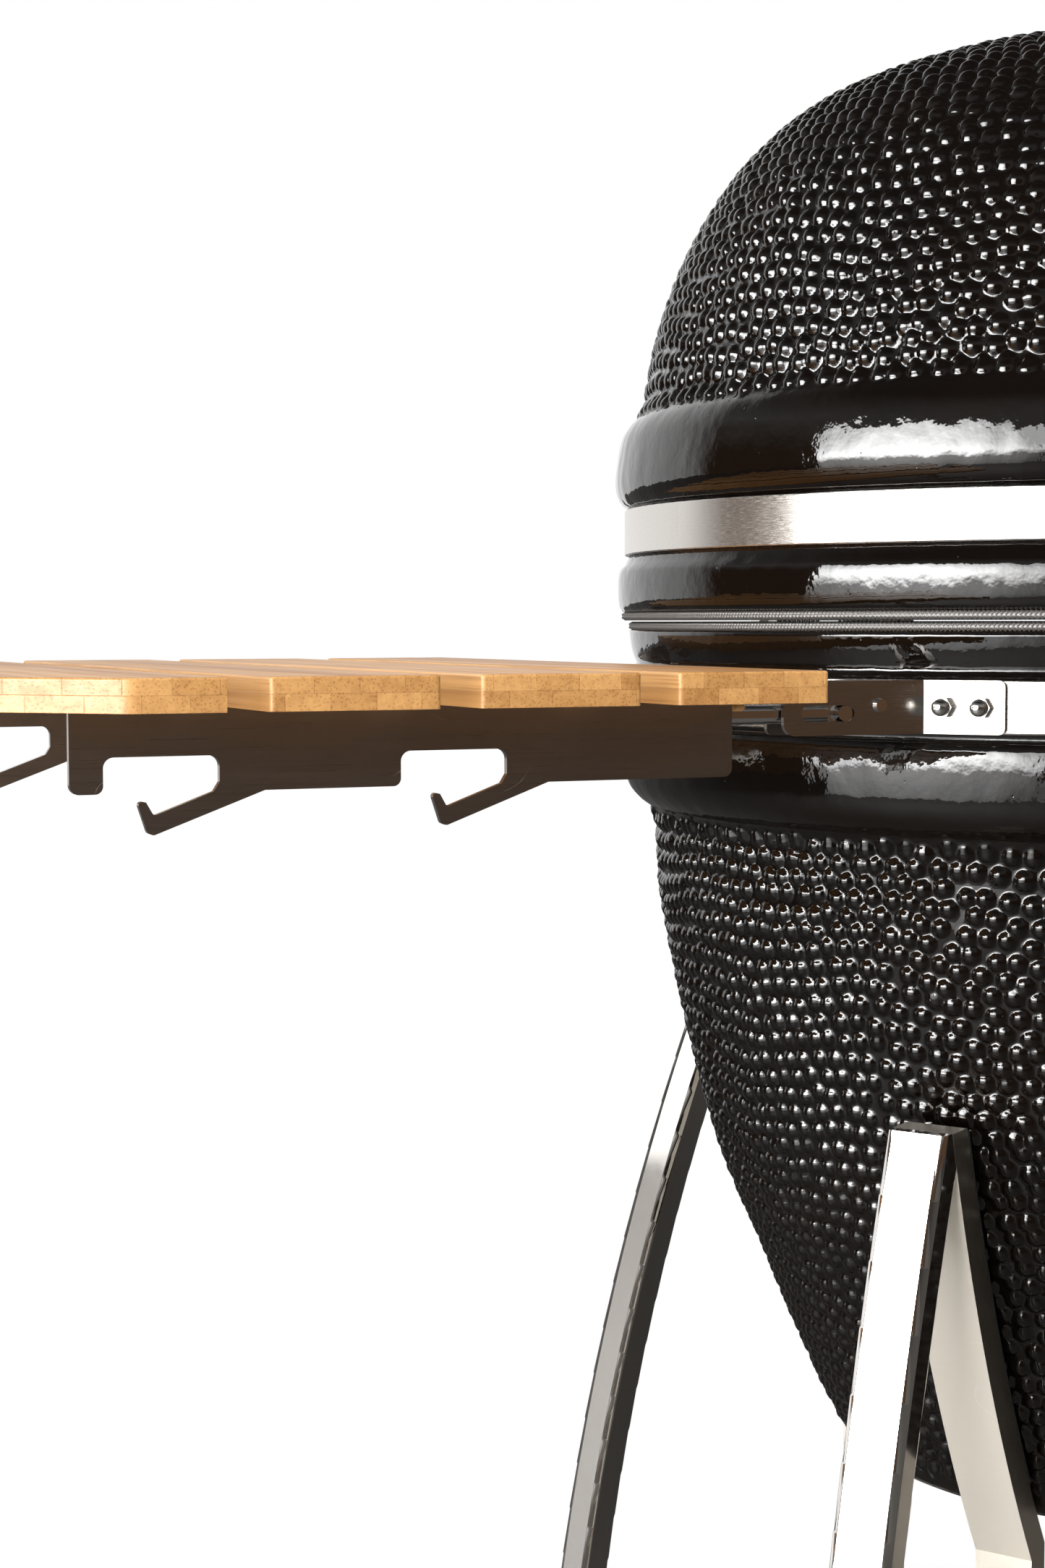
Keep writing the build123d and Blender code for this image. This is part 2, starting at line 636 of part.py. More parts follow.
screw_outer = strap_y + STRAP_T / 2
screw_inner = inner_plate_y - STRAP_T / 2
with BuildPart() as spacer_screws:
    for side, end, sign_x, sign_y in CORNERS:
        with BuildSketch(Plane.XZ.offset(-sign_y * screw_inner)):
            with Locations((sign_x * SPACER_X, level(SPACER_Z))):
                Circle(SPACER_R - 0.02)
        extrude(amount=-sign_y * (screw_outer - screw_inner))
        with BuildSketch(Plane.XZ.offset(-sign_y * screw_outer)):
            with Locations((sign_x * SPACER_X, level(SPACER_Z))):
                Circle(3.4)
        extrude(amount=-sign_y * 2.6, taper=12)
        with BuildSketch(Plane.XZ.offset(-sign_y * screw_inner)):
            with Locations((sign_x * SPACER_X, level(SPACER_Z))):
                RegularPolygon(radius=4, side_count=6)
        extrude(amount=sign_y * 3)
save(spacer_screws, "spacer_screws")

# ---------------------------------------------------------------- shelves
plate_top = level(SHELF_TOP_Z - SLAT_T)
rod_y = PLATE_Y - PLATE_T / 2 - ROD_R + ROD_FLAT
# outline of a hook's arm, from the inner corner of its opening out to the tip and back
HOOK_ARM = [
    (0, 4.0),
    (-2.5, 0),
    (-28.0, -9.4),
    (-31.2, -3.8),
    (-35.2, -3.0),
    (-30.8, -16.4),
    (-28.2, -17.5),
    (21.0, 0.5),
    (21.0, 8.0),
    (0, 8.0),
]
# rounded corners of a hook plate: distance outwards along X, height over its lower edge, radius
PLATE_CORNERS = [(PLATE_INNER_X, 0, 4.0), (PLATE_OUTER_X, 0, 4.2)]
for hook_x in HOOK_XS:
    PLATE_CORNERS.append((hook_x + HOOK_OPENING, 0, 3.4))
    for k, corner_r in ((2, 1.5), (4, 1.5), (5, 2.0), (6, 2.0)):
        PLATE_CORNERS.append((hook_x - HOOK_ARM[k][0], HOOK_ARM[k][1], corner_r))
for side, sign_x in (("left", -1), ("right", 1)):
    with BuildPart() as pins:
        for sign_y in (-1, 1):
            with BuildSketch(Plane.XZ.offset(-sign_y * (screw_inner - 0.5))):
                with Locations((sign_x * PIN_X, level(PIN_Z))):
                    Circle(PIN_R)
            extrude(amount=-sign_y * (screw_outer - screw_inner + 1.0))
    save(pins, f"{side}_pins")

    for end, sign_y in (("front", -1), ("rear", 1)):
        with BuildPart() as hook_plate:
            with BuildSketch(Plane.XZ.offset(-sign_y * (PLATE_Y - PLATE_T / 2))):
                with Locations((sign_x * (PLATE_INNER_X + PLATE_OUTER_X) / 2, plate_top - PLATE_H / 2)):
                    Rectangle(PLATE_OUTER_X - PLATE_INNER_X, PLATE_H)
                for hook_x in HOOK_XS:
                    middle = sign_x * (hook_x + HOOK_OPENING / 2)
                    with Locations((middle, plate_top - PLATE_H)):
                        RectangleRounded(HOOK_OPENING, 2 * HOOK_OPENING_H, HOOK_CORNER, mode=Mode.SUBTRACT)
                    with BuildLine():
                        arm = [(sign_x * (hook_x - x), plate_top - PLATE_H + z) for x, z in HOOK_ARM]
                        Polyline(*arm, close=True)
                    make_face()
            extrude(amount=-sign_y * PLATE_T)
            for x, z, corner_r in PLATE_CORNERS:
                spot = Vector(sign_x * x, sign_y * PLATE_Y, plate_top - PLATE_H + z)
                corner = hook_plate.edges().filter_by(Axis.Y).sort_by_distance(spot)[0]
                if (corner.center() - spot).length < 0.1:
                    fillet(corner, radius=corner_r)
        save(hook_plate, f"{side}_hook_plate_{end}")

    with BuildPart() as rods:
        for sign_y in (-1, 1):
            with BuildSketch(Plane.YZ.offset(sign_x * (PIN_X + EYE_R - 1))):
                with Locations((sign_y * rod_y, level(PIN_Z))):
                    Circle(ROD_R)
                with Locations((sign_y * (PLATE_Y - PLATE_T / 2 + ROD_R), level(PIN_Z))):
                    Rectangle(2 * ROD_R, 2 * ROD_R, mode=Mode.SUBTRACT)
            extrude(amount=sign_x * (PLATE_INNER_X + ROD_REACH - PIN_X - EYE_R + 1))
            with BuildSketch(Plane.XZ.offset(-sign_y * (rod_y - ROD_R))):
                with Locations((sign_x * PIN_X, level(PIN_Z))):
                    Circle(EYE_R)
            extrude(amount=-sign_y * (2 * ROD_R - ROD_FLAT))
            with BuildSketch(Plane.XZ.offset(-sign_y * (rod_y - ROD_R - 1))):
                with Locations((sign_x * PIN_X, level(PIN_Z))):
                    Circle(PIN_R + RUN)
            extrude(amount=-sign_y * (2 * ROD_R + 2), mode=Mode.SUBTRACT)
    save(rods, f"{side}_rods")

    for k in range(SLAT_COUNT):
        inner_x = SHELF_INNER_X + k * (SLAT_W + SLAT_GAP)
        with BuildPart() as slat:
            with BuildSketch(Plane.XY.offset(plate_top)):
                with Locations((sign_x * (inner_x + SLAT_W / 2), 0)):
                    RectangleRounded(SLAT_W, SHELF_LENGTH, SLAT_EDGE)
            extrude(amount=SLAT_T)
            fillet(slat.edges().group_by(Axis.Z)[-1], radius=1.2)
        save(slat, f"{side}_slat_{k + 1}")

    outer_x = SHELF_INNER_X + SLAT_COUNT * (SLAT_W + SLAT_GAP)
    with BuildPart() as outer_slat:
        with BuildSketch(Plane.XY.offset(plate_top)):
            with Locations((sign_x * (outer_x + OUTER_SLAT_W / 2), 0)):
                Rectangle(OUTER_SLAT_W, SHELF_LENGTH)
            corners = vertices().filter_by(lambda v: abs(v.X) > outer_x + 1)
            chamfer(corners, length=OUTER_SLAT_CORNER)
            blunt = vertices().filter_by(lambda v: abs(v.X) > outer_x + 1)
            fillet(blunt, radius=12)
        extrude(amount=SLAT_T)
        fillet(outer_slat.edges().group_by(Axis.Z)[-1], radius=1.2)
    save(outer_slat, f"{side}_slat_{SLAT_COUNT + 1}")

# ---------------------------------------------------------------- lid hinge
def curved_plate(low, half_width, azimuth_middle):
    """Plate of the band's height, curved to lie on a band; half_width along the chord."""
    spread = degrees(asin(half_width / BAND_R))
    rays = [azimuth_middle - spread, azimuth_middle, azimuth_middle + spread]
    near = [polar(tab_r, azimuth) for azimuth in rays]
    far = [polar(tab_r + BRACKET_T, azimuth) for azimuth in rays]
    with BuildSketch(Plane.XY.offset(level(low))) as sector:
        with BuildLine():
            ThreePointArc(*near)
            Line(near[2], far[2])
            ThreePointArc(*reversed(far))
            Line(far[0], near[0])
        make_face()
    extrude(sector.sketch, amount=BAND_H)


def hinge_ear(x, low, bore_r):
    """Upright ear from a band out to the hinge pin."""
    root_y = sqrt((tab_r + BRACKET_T / 2) ** 2 - x**2)
    with BuildSketch(Plane.YZ.offset(x - HINGE_EAR_T / 2)) as outline:
        with Locations((HINGE_PIN_Y, level(HINGE_PIN_Z))):
            Circle(HINGE_EAR_R)
        with Locations((root_y + 2, level(low) + BAND_H / 2)):
            Rectangle(4, BAND_H)
        make_hull()
        with Locations((HINGE_PIN_Y, level(HINGE_PIN_Z))):
            Circle(bore_r, mode=Mode.SUBTRACT)
    extrude(outline.sketch, amount=HINGE_EAR_T)


with BuildPart() as hinge_lid_bracket:
    curved_plate(UPPER_BAND_Z, LID_EAR_X + HINGE_EAR_T, 180)
    for sign in (-1, 1):
        hinge_ear(sign * LID_EAR_X, UPPER_BAND_Z, HINGE_PIN_R)
save(hinge_lid_bracket, "hinge_lid_bracket")

base_ear_x = LID_EAR_X + EAR_STEP
with BuildPart() as hinge_base_bracket:
    curved_plate(LOWER_BAND_Z, base_ear_x + HINGE_EAR_T, 180)
    for sign in (-1, 1):
        hinge_ear(sign * base_ear_x, LOWER_BAND_Z, HINGE_PIN_R)
save(hinge_base_bracket, "hinge_base_bracket")

pin_half = base_ear_x + HINGE_EAR_T / 2
with BuildPart() as hinge_pin:
    with BuildSketch(Plane.YZ.offset(-pin_half)):
        with Locations((HINGE_PIN_Y, level(HINGE_PIN_Z))):
            Circle(HINGE_PIN_R - 0.05)
    extrude(amount=2 * pin_half)
    for sign in (-1, 1):
        with BuildSketch(Plane.YZ.offset(sign * pin_half)):
            with Locations((HINGE_PIN_Y, level(HINGE_PIN_Z))):
                Circle(8)
        extrude(amount=sign * 3.5)
save(hinge_pin, "hinge_pin")

with BuildPart() as hinge_springs:
    for sign in (-1, 1):
        with BuildSketch(Plane.YZ.offset(sign * 8)):
            with Locations((HINGE_PIN_Y, level(HINGE_PIN_Z))):
                Circle(9)
                Circle(HINGE_PIN_R + 0.4, mode=Mode.SUBTRACT)
        extrude(amount=sign * (LID_EAR_X - HINGE_EAR_T / 2 - 9))
save(hinge_springs, "hinge_springs")

# ---------------------------------------------------------------- handle
band_middle = UPPER_BAND_Z + BAND_H / 2
post_azimuth = degrees(asin(POST_X / BAND_R))
with BuildPart() as handle_posts:
    for sign in (-1, 1):
        curved_plate(UPPER_BAND_Z, 22, sign * post_azimuth)
        near_y = sqrt((tab_r + BRACKET_T / 2) ** 2 - (POST_X - POST_T / 2) ** 2)
        far_y = GRIP_Y - GRIP_D
        with BuildSketch(Plane.XY.offset(level(UPPER_BAND_Z + 2))):
            with Locations((sign * POST_X, -(near_y + far_y) / 2)):
                Rectangle(POST_T, far_y - near_y)
        extrude(amount=BAND_H - 4)
save(handle_posts, "handle_posts")

with BuildPart() as handle_grip:
    with BuildSketch(Plane.YZ.offset(-GRIP_LENGTH / 2)):
        with Locations((-(GRIP_Y - GRIP_D / 2), level(band_middle))):
            RectangleRounded(GRIP_D, GRIP_H, 8)
    extrude(amount=GRIP_LENGTH)
    fillet(handle_grip.faces().filter_by(Axis.X).edges(), radius=4)
save(handle_grip, "handle_grip")

with BuildPart() as lid_nuts:
    for sign in (-1, 1):
        for step in (-2.9, 2.9):
            around = sign * post_azimuth + step
            acorn_nut(surface_plane(tab_r + BRACKET_T, around, band_middle))
        acorn_nut(surface_plane(tab_r + BRACKET_T, 180 + sign * 4.0, band_middle))
save(lid_nuts, "lid_nuts")

# ---------------------------------------------------------------- chimney damper
body_top = CROWN_Z + 34.0
pivot_y = (CHIMNEY_R + NECK_R) / 2
cap_low = body_top + 0.4
with BuildPart() as damper_body:
    with BuildSketch(Plane.XZ):
        with BuildLine():
            Polyline(
                (CHIMNEY_R, level(CROWN_Z + 0.2)),
                (FLANGE_R, level(CROWN_Z + 0.2)),
                (FLANGE_R, level(CROWN_Z + 6.0)),
                (NECK_R, level(CROWN_Z + 9.0)),
                (NECK_R, level(body_top)),
                (CHIMNEY_R, level(body_top)),
                close=True,
            )
        make_face()
    revolve(axis=Axis.Z)
    with BuildSketch(Plane.XY.offset(level(body_top - 1))):
        with Locations((0, pivot_y)):
            Circle(PIVOT_R - RUN)
    extrude(amount=16)
save(damper_body, "damper_body")

with BuildPart() as damper_cap:
    with BuildSketch(Plane.XY.offset(level(cap_low))):
        Circle(FLANGE_R)
        with Locations((0, pivot_y)):
            Circle(PIVOT_R, mode=Mode.SUBTRACT)
    extrude(amount=9)
    fillet(damper_cap.edges().filter_by(GeomType.CIRCLE).sort_by(SortBy.RADIUS)[-2:], radius=2)
    with BuildSketch(Plane.XY.offset(level(cap_low + 9))):
        Circle(7)
    extrude(amount=10)
    with BuildSketch(Plane.XY.offset(level(cap_low + 19))):
        Circle(15)
    extrude(amount=12)
    fillet(damper_cap.edges().group_by(Axis.Z)[-1], radius=5)
save(damper_cap, "damper_cap")

# ---------------------------------------------------------------- thermometer
dial_seat = surface_plane(dial_r, 0, DIAL_Z, dial_tilt)
case_low = 4.0
with BuildPart() as thermometer_housing:
    with BuildSketch(dial_seat.offset(case_low)):
        Circle(DIAL_R)
    extrude(amount=DIAL_DEPTH)
    fillet(thermometer_housing.edges().group_by(Axis(dial_seat.origin, dial_seat.z_dir))[0], radius=2)
    with BuildSketch(dial_seat.offset(case_low + 3)):
        Circle(DIAL_R - 3)
    extrude(amount=DIAL_DEPTH, mode=Mode.SUBTRACT)
    with BuildSketch(dial_seat.offset(0.6)):
        Circle(14)
    extrude(amount=case_low - 0.6)
    with BuildSketch(dial_seat.offset(0.6)):
        Circle(STEM_R)
    extrude(amount=-STEM_LENGTH)
save(thermometer_housing, "thermometer_housing")

with BuildPart() as thermometer_dial:
    with BuildSketch(dial_seat.offset(case_low + 3.1)):
        Circle(DIAL_R - 3.2)
        Circle(1.2, mode=Mode.SUBTRACT)
    extrude(amount=1.5)
save(thermometer_dial, "thermometer_dial")

with BuildPart() as thermometer_needle:
    with BuildSketch(dial_seat.offset(case_low + 3.4)):
        Circle(1.15)
    extrude(amount=4.2)
    with BuildSketch(dial_seat.offset(case_low + 6)):
        Circle(3.5)
        with Locations(Location((0, 0), -45)):
            with Locations((-11, 0)):
                Rectangle(28, 1.6)
    extrude(amount=1.0)
save(thermometer_needle, "thermometer_needle")

with BuildPart() as thermometer_lens:
    with BuildSketch(dial_seat.offset(case_low + DIAL_DEPTH - 4)):
        Circle(DIAL_R - 3.1)
    extrude(amount=2.5)
save(thermometer_lens, "thermometer_lens")
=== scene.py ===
"""Looks of a kamado ceramic grill, built around its packed construction model.

Metres, in the frame of the model: +Z up, -Y the front, the shelves along -X and +X.
Every piece has its own operator; main() calls them in order.
"""

import math

import bmesh
import bpy
import numpy as np
from bpy.props import FloatProperty, FloatVectorProperty, IntProperty, PointerProperty
from bpy.types import Operator, Panel, PropertyGroup
from mathutils import Matrix, Vector


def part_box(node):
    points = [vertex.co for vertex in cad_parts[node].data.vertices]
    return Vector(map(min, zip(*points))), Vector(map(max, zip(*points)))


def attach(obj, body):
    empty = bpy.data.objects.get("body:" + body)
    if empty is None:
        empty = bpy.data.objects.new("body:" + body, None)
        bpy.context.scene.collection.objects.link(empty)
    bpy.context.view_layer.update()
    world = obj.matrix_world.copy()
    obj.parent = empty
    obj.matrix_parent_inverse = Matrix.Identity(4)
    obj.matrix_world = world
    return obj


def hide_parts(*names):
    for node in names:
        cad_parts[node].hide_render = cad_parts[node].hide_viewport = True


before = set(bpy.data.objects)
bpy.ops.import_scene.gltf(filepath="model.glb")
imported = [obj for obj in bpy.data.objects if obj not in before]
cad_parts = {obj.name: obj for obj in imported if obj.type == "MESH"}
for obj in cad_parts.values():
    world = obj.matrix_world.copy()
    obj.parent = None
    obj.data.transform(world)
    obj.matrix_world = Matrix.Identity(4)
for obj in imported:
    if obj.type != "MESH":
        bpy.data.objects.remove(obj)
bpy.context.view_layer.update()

bl_info = {
    "name": "Kamado grill",
    "version": (1, 0, 0),
    "blender": (4, 5, 0),
    "location": "View3D > Sidebar > Kamado",
    "description": "Builds the finish of a kamado ceramic grill around its construction model",
    "category": "Object",
}

MM = 0.001
SEAM_Z = (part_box("lid_gasket")[0][2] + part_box("base_gasket")[1][2]) / 2
WALL = 25 * MM


# ------------------------------------------------------------------ settings
def colour_setting(name, description, default):
    """A colour among the settings."""
    return FloatVectorProperty(name=name, description=description, subtype="COLOR", size=3, default=default)


class GlazeSettings(PropertyGroup):
    """Sizes and colour of the beaded glaze."""

    colour: colour_setting("Glaze", "Colour of the glaze", (0.0018, 0.0015, 0.0014))
    bead_pitch: FloatProperty(
        name="Bead pitch", description="Distance between bead middles", unit="LENGTH", default=10.8 * MM
    )
    bead_height: FloatProperty(
        name="Bead height", description="How far a bead stands up", unit="LENGTH", default=2.9 * MM
    )
    segments: IntProperty(name="Segments", description="Steps around the body", default=1440)


class MetalSettings(PropertyGroup):
    """Colours of the metal pieces."""

    band: colour_setting("Bands", "Brushed stainless bands", (0.70, 0.67, 0.63))
    plate: colour_setting("Plates", "Hook plates and brackets", (0.50, 0.46, 0.42))
    tube: colour_setting("Tubes", "Polished stand tubes", (0.80, 0.77, 0.73))
    bevel: FloatProperty(
        name="Edge", description="Rounding of sheet edges", unit="LENGTH", default=0.5 * MM
    )


class WoodSettings(PropertyGroup):
    """Tones of the laminated bamboo."""

    light: colour_setting("Light", "Light strips", (0.62, 0.335, 0.12))
    dark: colour_setting("Dark", "Dark strips", (0.34, 0.15, 0.040))
    strip: FloatProperty(name="Strip", description="Width of a strip", unit="LENGTH", default=19 * MM)


class StageSettings(PropertyGroup):
    """Light levels of the studio."""

    fill: FloatProperty(name="Fill", description="Level of the room light", default=1.0)
    panel: FloatProperty(
        name="Side panel", description="Power of the side panel", subtype="POWER", default=75.0
    )
    floor: colour_setting("Floor", "Floor colour", (0.92, 0.92, 0.91))


# ------------------------------------------------------------------ node helpers
def node_group(name, inputs, outputs):
    """Empty shader group with sockets (name, type, default): (group, what it is given, its end)."""
    group = bpy.data.node_groups.new(name, "ShaderNodeTree")
    for label, kind, default in inputs:
        socket = group.interface.new_socket(name=label, in_out="INPUT", socket_type="NodeSocket" + kind)
        if default is not None:
            socket.default_value = default
    for label, kind in outputs:
        group.interface.new_socket(name=label, in_out="OUTPUT", socket_type="NodeSocket" + kind)
    return group, group.nodes.new("NodeGroupInput").outputs, group.nodes.new("NodeGroupOutput")


def feed(tree, node, inputs):
    """Gives a node's inputs a value each, or links them to another node's output."""
    for key, value in inputs.items():
        socket = node.inputs[key]
        if isinstance(value, bpy.types.NodeSocket):
            tree.links.new(value, socket)
        elif socket.type == "RGBA" and len(value) == 3:
            socket.default_value = (*value, 1.0)
        else:
            socket.default_value = value


def add_node(tree, kind, inputs=(), **settings):
    """A node with its settings and inputs."""
    node = tree.nodes.new("ShaderNode" + kind)
    for key, value in settings.items():
        setattr(node, key, value)
    feed(tree, node, dict(inputs))
    return node


def maths(tree, operation, *values):
    """Result of a Math node."""
    return add_node(tree, "Math", dict(enumerate(values)), operation=operation).outputs[0]


def times(tree, first, second):
    """Product of two values."""
    return maths(tree, "MULTIPLY", first, second)


def noise(tree, vector, scale, detail, **more):
    """Value of a Noise Texture; more holds further inputs, such as Roughness or Distortion."""
    inputs = {"Vector": vector, "Scale": scale, "Detail": detail, **more}
    return add_node(tree, "TexNoise", inputs).outputs["Fac"]


def ramp(tree, factor, low, high, from_low=0.0, from_high=1.0):
    """Value that runs from low to high as factor runs between two limits."""
    node = add_node(
        tree, "MapRange",
        {"Value": factor, "From Min": from_low, "From Max": from_high, "To Min": low, "To Max": high},
    )
    return node.outputs[0]


def shade(colour, factor):
    """A colour with its three values multiplied by a factor."""
    return tuple(value * factor for value in colour)


def blend_colour(tree, factor, first, second):
    """Colour between first and second."""
    return add_node(tree, "Mix", {0: factor, 6: first, 7: second}, data_type="RGBA").outputs[2]


def new_material(name):
    """Material with an empty Principled shader: (material, tree, shader)."""
    material = bpy.data.materials.new(name)
    material.use_nodes = True
    tree = material.node_tree
    return material, tree, tree.nodes["Principled BSDF"]


def place(tree):
    """Object coordinates, which are metres in the frame."""
    return add_node(tree, "TexCoord").outputs["Object"]


def make_groups():
    """The shared effects: brushed lines, glaze waves, soiling and bamboo."""
    groups = {}

    group, given, out = node_group(
        "Brushed lines",
        [
            ("Vector", "Vector", None), ("Fineness", "Float", 400.0),
            ("Low", "Float", 0.2), ("High", "Float", 0.4),
        ],
        [("Lines", "Float"), ("Roughness", "Float")],
    )
    fine = noise(group, given[0], given[1], 3.0, Roughness=0.65)
    broad = noise(group, given[0], 9.0, 2.0)
    mixed = maths(group, "ADD", times(group, fine, 0.7), times(group, broad, 0.3))
    rough = ramp(group, mixed, given[2], given[3], 0.3, 0.7)
    feed(group, out, {"Lines": fine, "Roughness": rough})
    groups["lines"] = group

    group, given, out = node_group(
        "Glaze waves",
        [("Vector", "Vector", None), ("Ripple", "Float", 1.0), ("Pits", "Float", 1.0)],
        [("Height", "Float"), ("Specks", "Float")],
    )
    broad = noise(group, given[0], 55.0, 1.5)
    fine = noise(group, given[0], 190.0, 2.0)
    pits = add_node(group, "TexVoronoi", {"Vector": given[0], "Scale": 150.0}).outputs["Distance"]
    pit_mask = ramp(group, pits, 1.0, 0.0, 0.02, 0.09)
    sparse = noise(group, given[0], 31.0, 1.0)
    pit_mask = times(group, pit_mask, ramp(group, sparse, 0.0, 1.0, 0.56, 0.62))
    waves = maths(group, "ADD", broad, times(group, fine, 0.28))
    waves = times(group, waves, given[1])
    height = maths(group, "SUBTRACT", waves, times(group, pit_mask, given[2]))
    feed(group, out, {"Height": height, "Specks": pit_mask})
    groups["glaze"] = group

    group, given, out = node_group(
        "Soiling",
        [("Vector", "Vector", None), ("Scale", "Float", 12.0), ("Amount", "Float", 0.5)],
        [("Mask", "Float")],
    )
    cloud = noise(group, given[0], given[1], 6.0, Roughness=0.6)
    mask = times(group, ramp(group, cloud, 0.0, 1.0, 0.42, 0.68), given[2])
    feed(group, out, {"Mask": mask})
    groups["soiling"] = group

    group, given, out = node_group(
        "Bamboo",
        [
            ("Vector", "Vector", None), ("Strip", "Float", 0.019), ("Light", "Color", (1, 1, 1, 1)),
            ("Dark", "Color", (0, 0, 0, 1)), ("Layer Z", "Float", 0.0), ("Layer", "Float", 0.007),
        ],
        [("Colour", "Color"), ("Height", "Float"), ("Roughness", "Float")],
    )
    axes = add_node(group, "SeparateXYZ", {0: given[0]})
    above = maths(group, "SUBTRACT", axes.outputs[2], given[4])
    layers = maths(group, "DIVIDE", above, given[5])
    layer = maths(group, "FLOOR", layers)
    strips = maths(group, "DIVIDE", axes.outputs[0], given[1])
    shifted = maths(group, "ADD", strips, times(group, layer, 0.37))
    strip = maths(group, "FLOOR", shifted)
    cell = add_node(group, "CombineXYZ", {0: strip, 1: layer, 2: 0.0}).outputs[0]
    tone = add_node(group, "TexWhiteNoise", {"Vector": cell}, noise_dimensions="3D").outputs["Value"]
    fibres = add_node(group, "Mapping", {"Vector": given[0], "Scale": (1.0, 0.012, 1.0)}).outputs[0]
    cells = add_node(group, "TexVoronoi", {"Vector": fibres, "Scale": 760.0}).outputs["Distance"]
    specks = ramp(group, cells, 1.0, 0.0, 0.18, 0.42)
    streaks = noise(group, fibres, 260.0, 4.0, Roughness=0.6)
    clouds = noise(group, given[0], 9.0, 2.0)
    edge = maths(group, "ABSOLUTE", maths(group, "SUBTRACT", maths(group, "FRACT", shifted), 0.5))
    joint = ramp(group, edge, 0.0, 1.0, 0.485, 0.5)
    part = maths(group, "SUBTRACT", maths(group, "FRACT", layers), 0.5)
    glue = ramp(group, maths(group, "ABSOLUTE", part), 0.0, 1.0, 0.47, 0.5)
    joint = maths(group, "MAXIMUM", joint, glue)
    amount = times(group, tone, 0.62)
    for part in (
        times(group, specks, 0.45), ramp(group, streaks, -0.22, 0.26, 0.3, 0.7),
        ramp(group, clouds, -0.10, 0.10, 0.3, 0.7), times(group, joint, 0.35),
    ):
        amount = maths(group, "ADD", amount, part)
    clamped = add_node(group, "Clamp", {"Value": amount}).outputs[0]
    colour = blend_colour(group, clamped, given[2], given[3])
    height = times(group, streaks, 0.6)
    for groove, depth in ((joint, 0.8), (specks, 0.2)):
        height = maths(group, "SUBTRACT", height, times(group, groove, depth))
    rough = ramp(group, streaks, 0.34, 0.52, 0.3, 0.7)
    feed(group, out, {"Colour": colour, "Height": height, "Roughness": rough})
    groups["bamboo"] = group
    return groups


GROUPS = make_groups()


def use_group(tree, name, inputs):
    """One of the shared effects, placed in a material."""
    node = tree.nodes.new("ShaderNodeGroup")
    node.node_tree = GROUPS[name]
    feed(tree, node, inputs)
    return node


def bump(tree, shader, height, distance):
    """Feeds a height, in units of distance metres, to the shader's normal."""
    node = add_node(tree, "Bump", {"Height": height, "Distance": distance, "Strength": 1.0})
    feed(tree, shader, {"Normal": node.outputs[0]})


# ------------------------------------------------------------------ materials
def glaze_material(name):
    """Black glossy glaze with slow waves and rare pinholes."""
    material, tree, shader = new_material(name)
    waves = use_group(tree, "glaze", {"Vector": place(tree), "Ripple": 1.0, "Pits": 0.5})
    colour = bpy.context.scene.kamado_glaze.colour
    tint = noise(tree, place(tree), 14.0, 3.0)
    base = blend_colour(tree, tint, tuple(colour), (0.005, 0.003, 0.002))
    rough = ramp(tree, waves.outputs["Specks"], 0.045, 0.30)
    feed(tree, shader, {"Base Color": base, "Roughness": rough, "IOR": 1.55})
    bump(tree, shader, waves.outputs["Height"], 0.5 * MM)
    return material


def clay_material(name, colour, soot):
    """Unglazed fire clay, darkened by soot."""
    material, tree, shader = new_material(name)
    where = place(tree)
    soiling = use_group(tree, "soiling", {"Vector": where, "Scale": 9.0, "Amount": soot})
    grain = noise(tree, where, 420.0, 4.0)
    dark = shade(colour, 0.25)
    tone = blend_colour(tree, soiling.outputs[0], colour, dark)
    feed(tree, shader, {"Base Color": tone, "Roughness": ramp(tree, grain, 0.75, 0.95)})
    bump(tree, shader, grain, 0.6 * MM)
    return material


def brushed_material(name, colour, stretch, around=False, low=0.16, high=0.34, stain=0.25):
    """Brushed stainless; the lines run along the axis with the small stretch, or around the body."""
    material, tree, shader = new_material(name)
    where = place(tree)
    if around:
        axes = add_node(tree, "SeparateXYZ", {0: where})
        turn = maths(tree, "ARCTAN2", axes.outputs[1], axes.outputs[0])
        slow = times(tree, turn, 0.02)
        grain = add_node(tree, "CombineXYZ", {0: slow, 1: 0.0, 2: axes.outputs[2]}).outputs[0]
    else:
        grain = add_node(tree, "Mapping", {"Vector": where, "Scale": stretch}).outputs[0]
    lines = use_group(tree, "lines", {"Vector": grain, "Fineness": 2600.0, "Low": low, "High": high})
    soiling = use_group(tree, "soiling", {"Vector": where, "Scale": 7.0, "Amount": stain})
    tone = blend_colour(tree, lines.outputs["Lines"], shade(colour, 0.86), tuple(colour))
    tone = blend_colour(tree, soiling.outputs[0], tone, shade(colour, 0.80))
    marks = noise(tree, where, 23.0, 0.0, Distortion=0.6)
    rare = noise(tree, where, 31.0, 1.0)
    off = maths(tree, "ABSOLUTE", maths(tree, "SUBTRACT", marks, 0.5))
    thin = ramp(tree, off, 1.0, 0.0, 0.0005, 0.0022)
    thin = times(tree, thin, ramp(tree, rare, 0.0, 0.7, 0.60, 0.66))
    tone = blend_colour(tree, thin, tone, (0.95, 0.93, 0.90))
    rough = maths(tree, "ADD", lines.outputs["Roughness"], times(tree, thin, 0.3))
    feed(tree, shader, {"Base Color": tone, "Roughness": rough, "Metallic": 1.0})
    bump(tree, shader, lines.outputs["Lines"], 0.02 * MM)
    return material


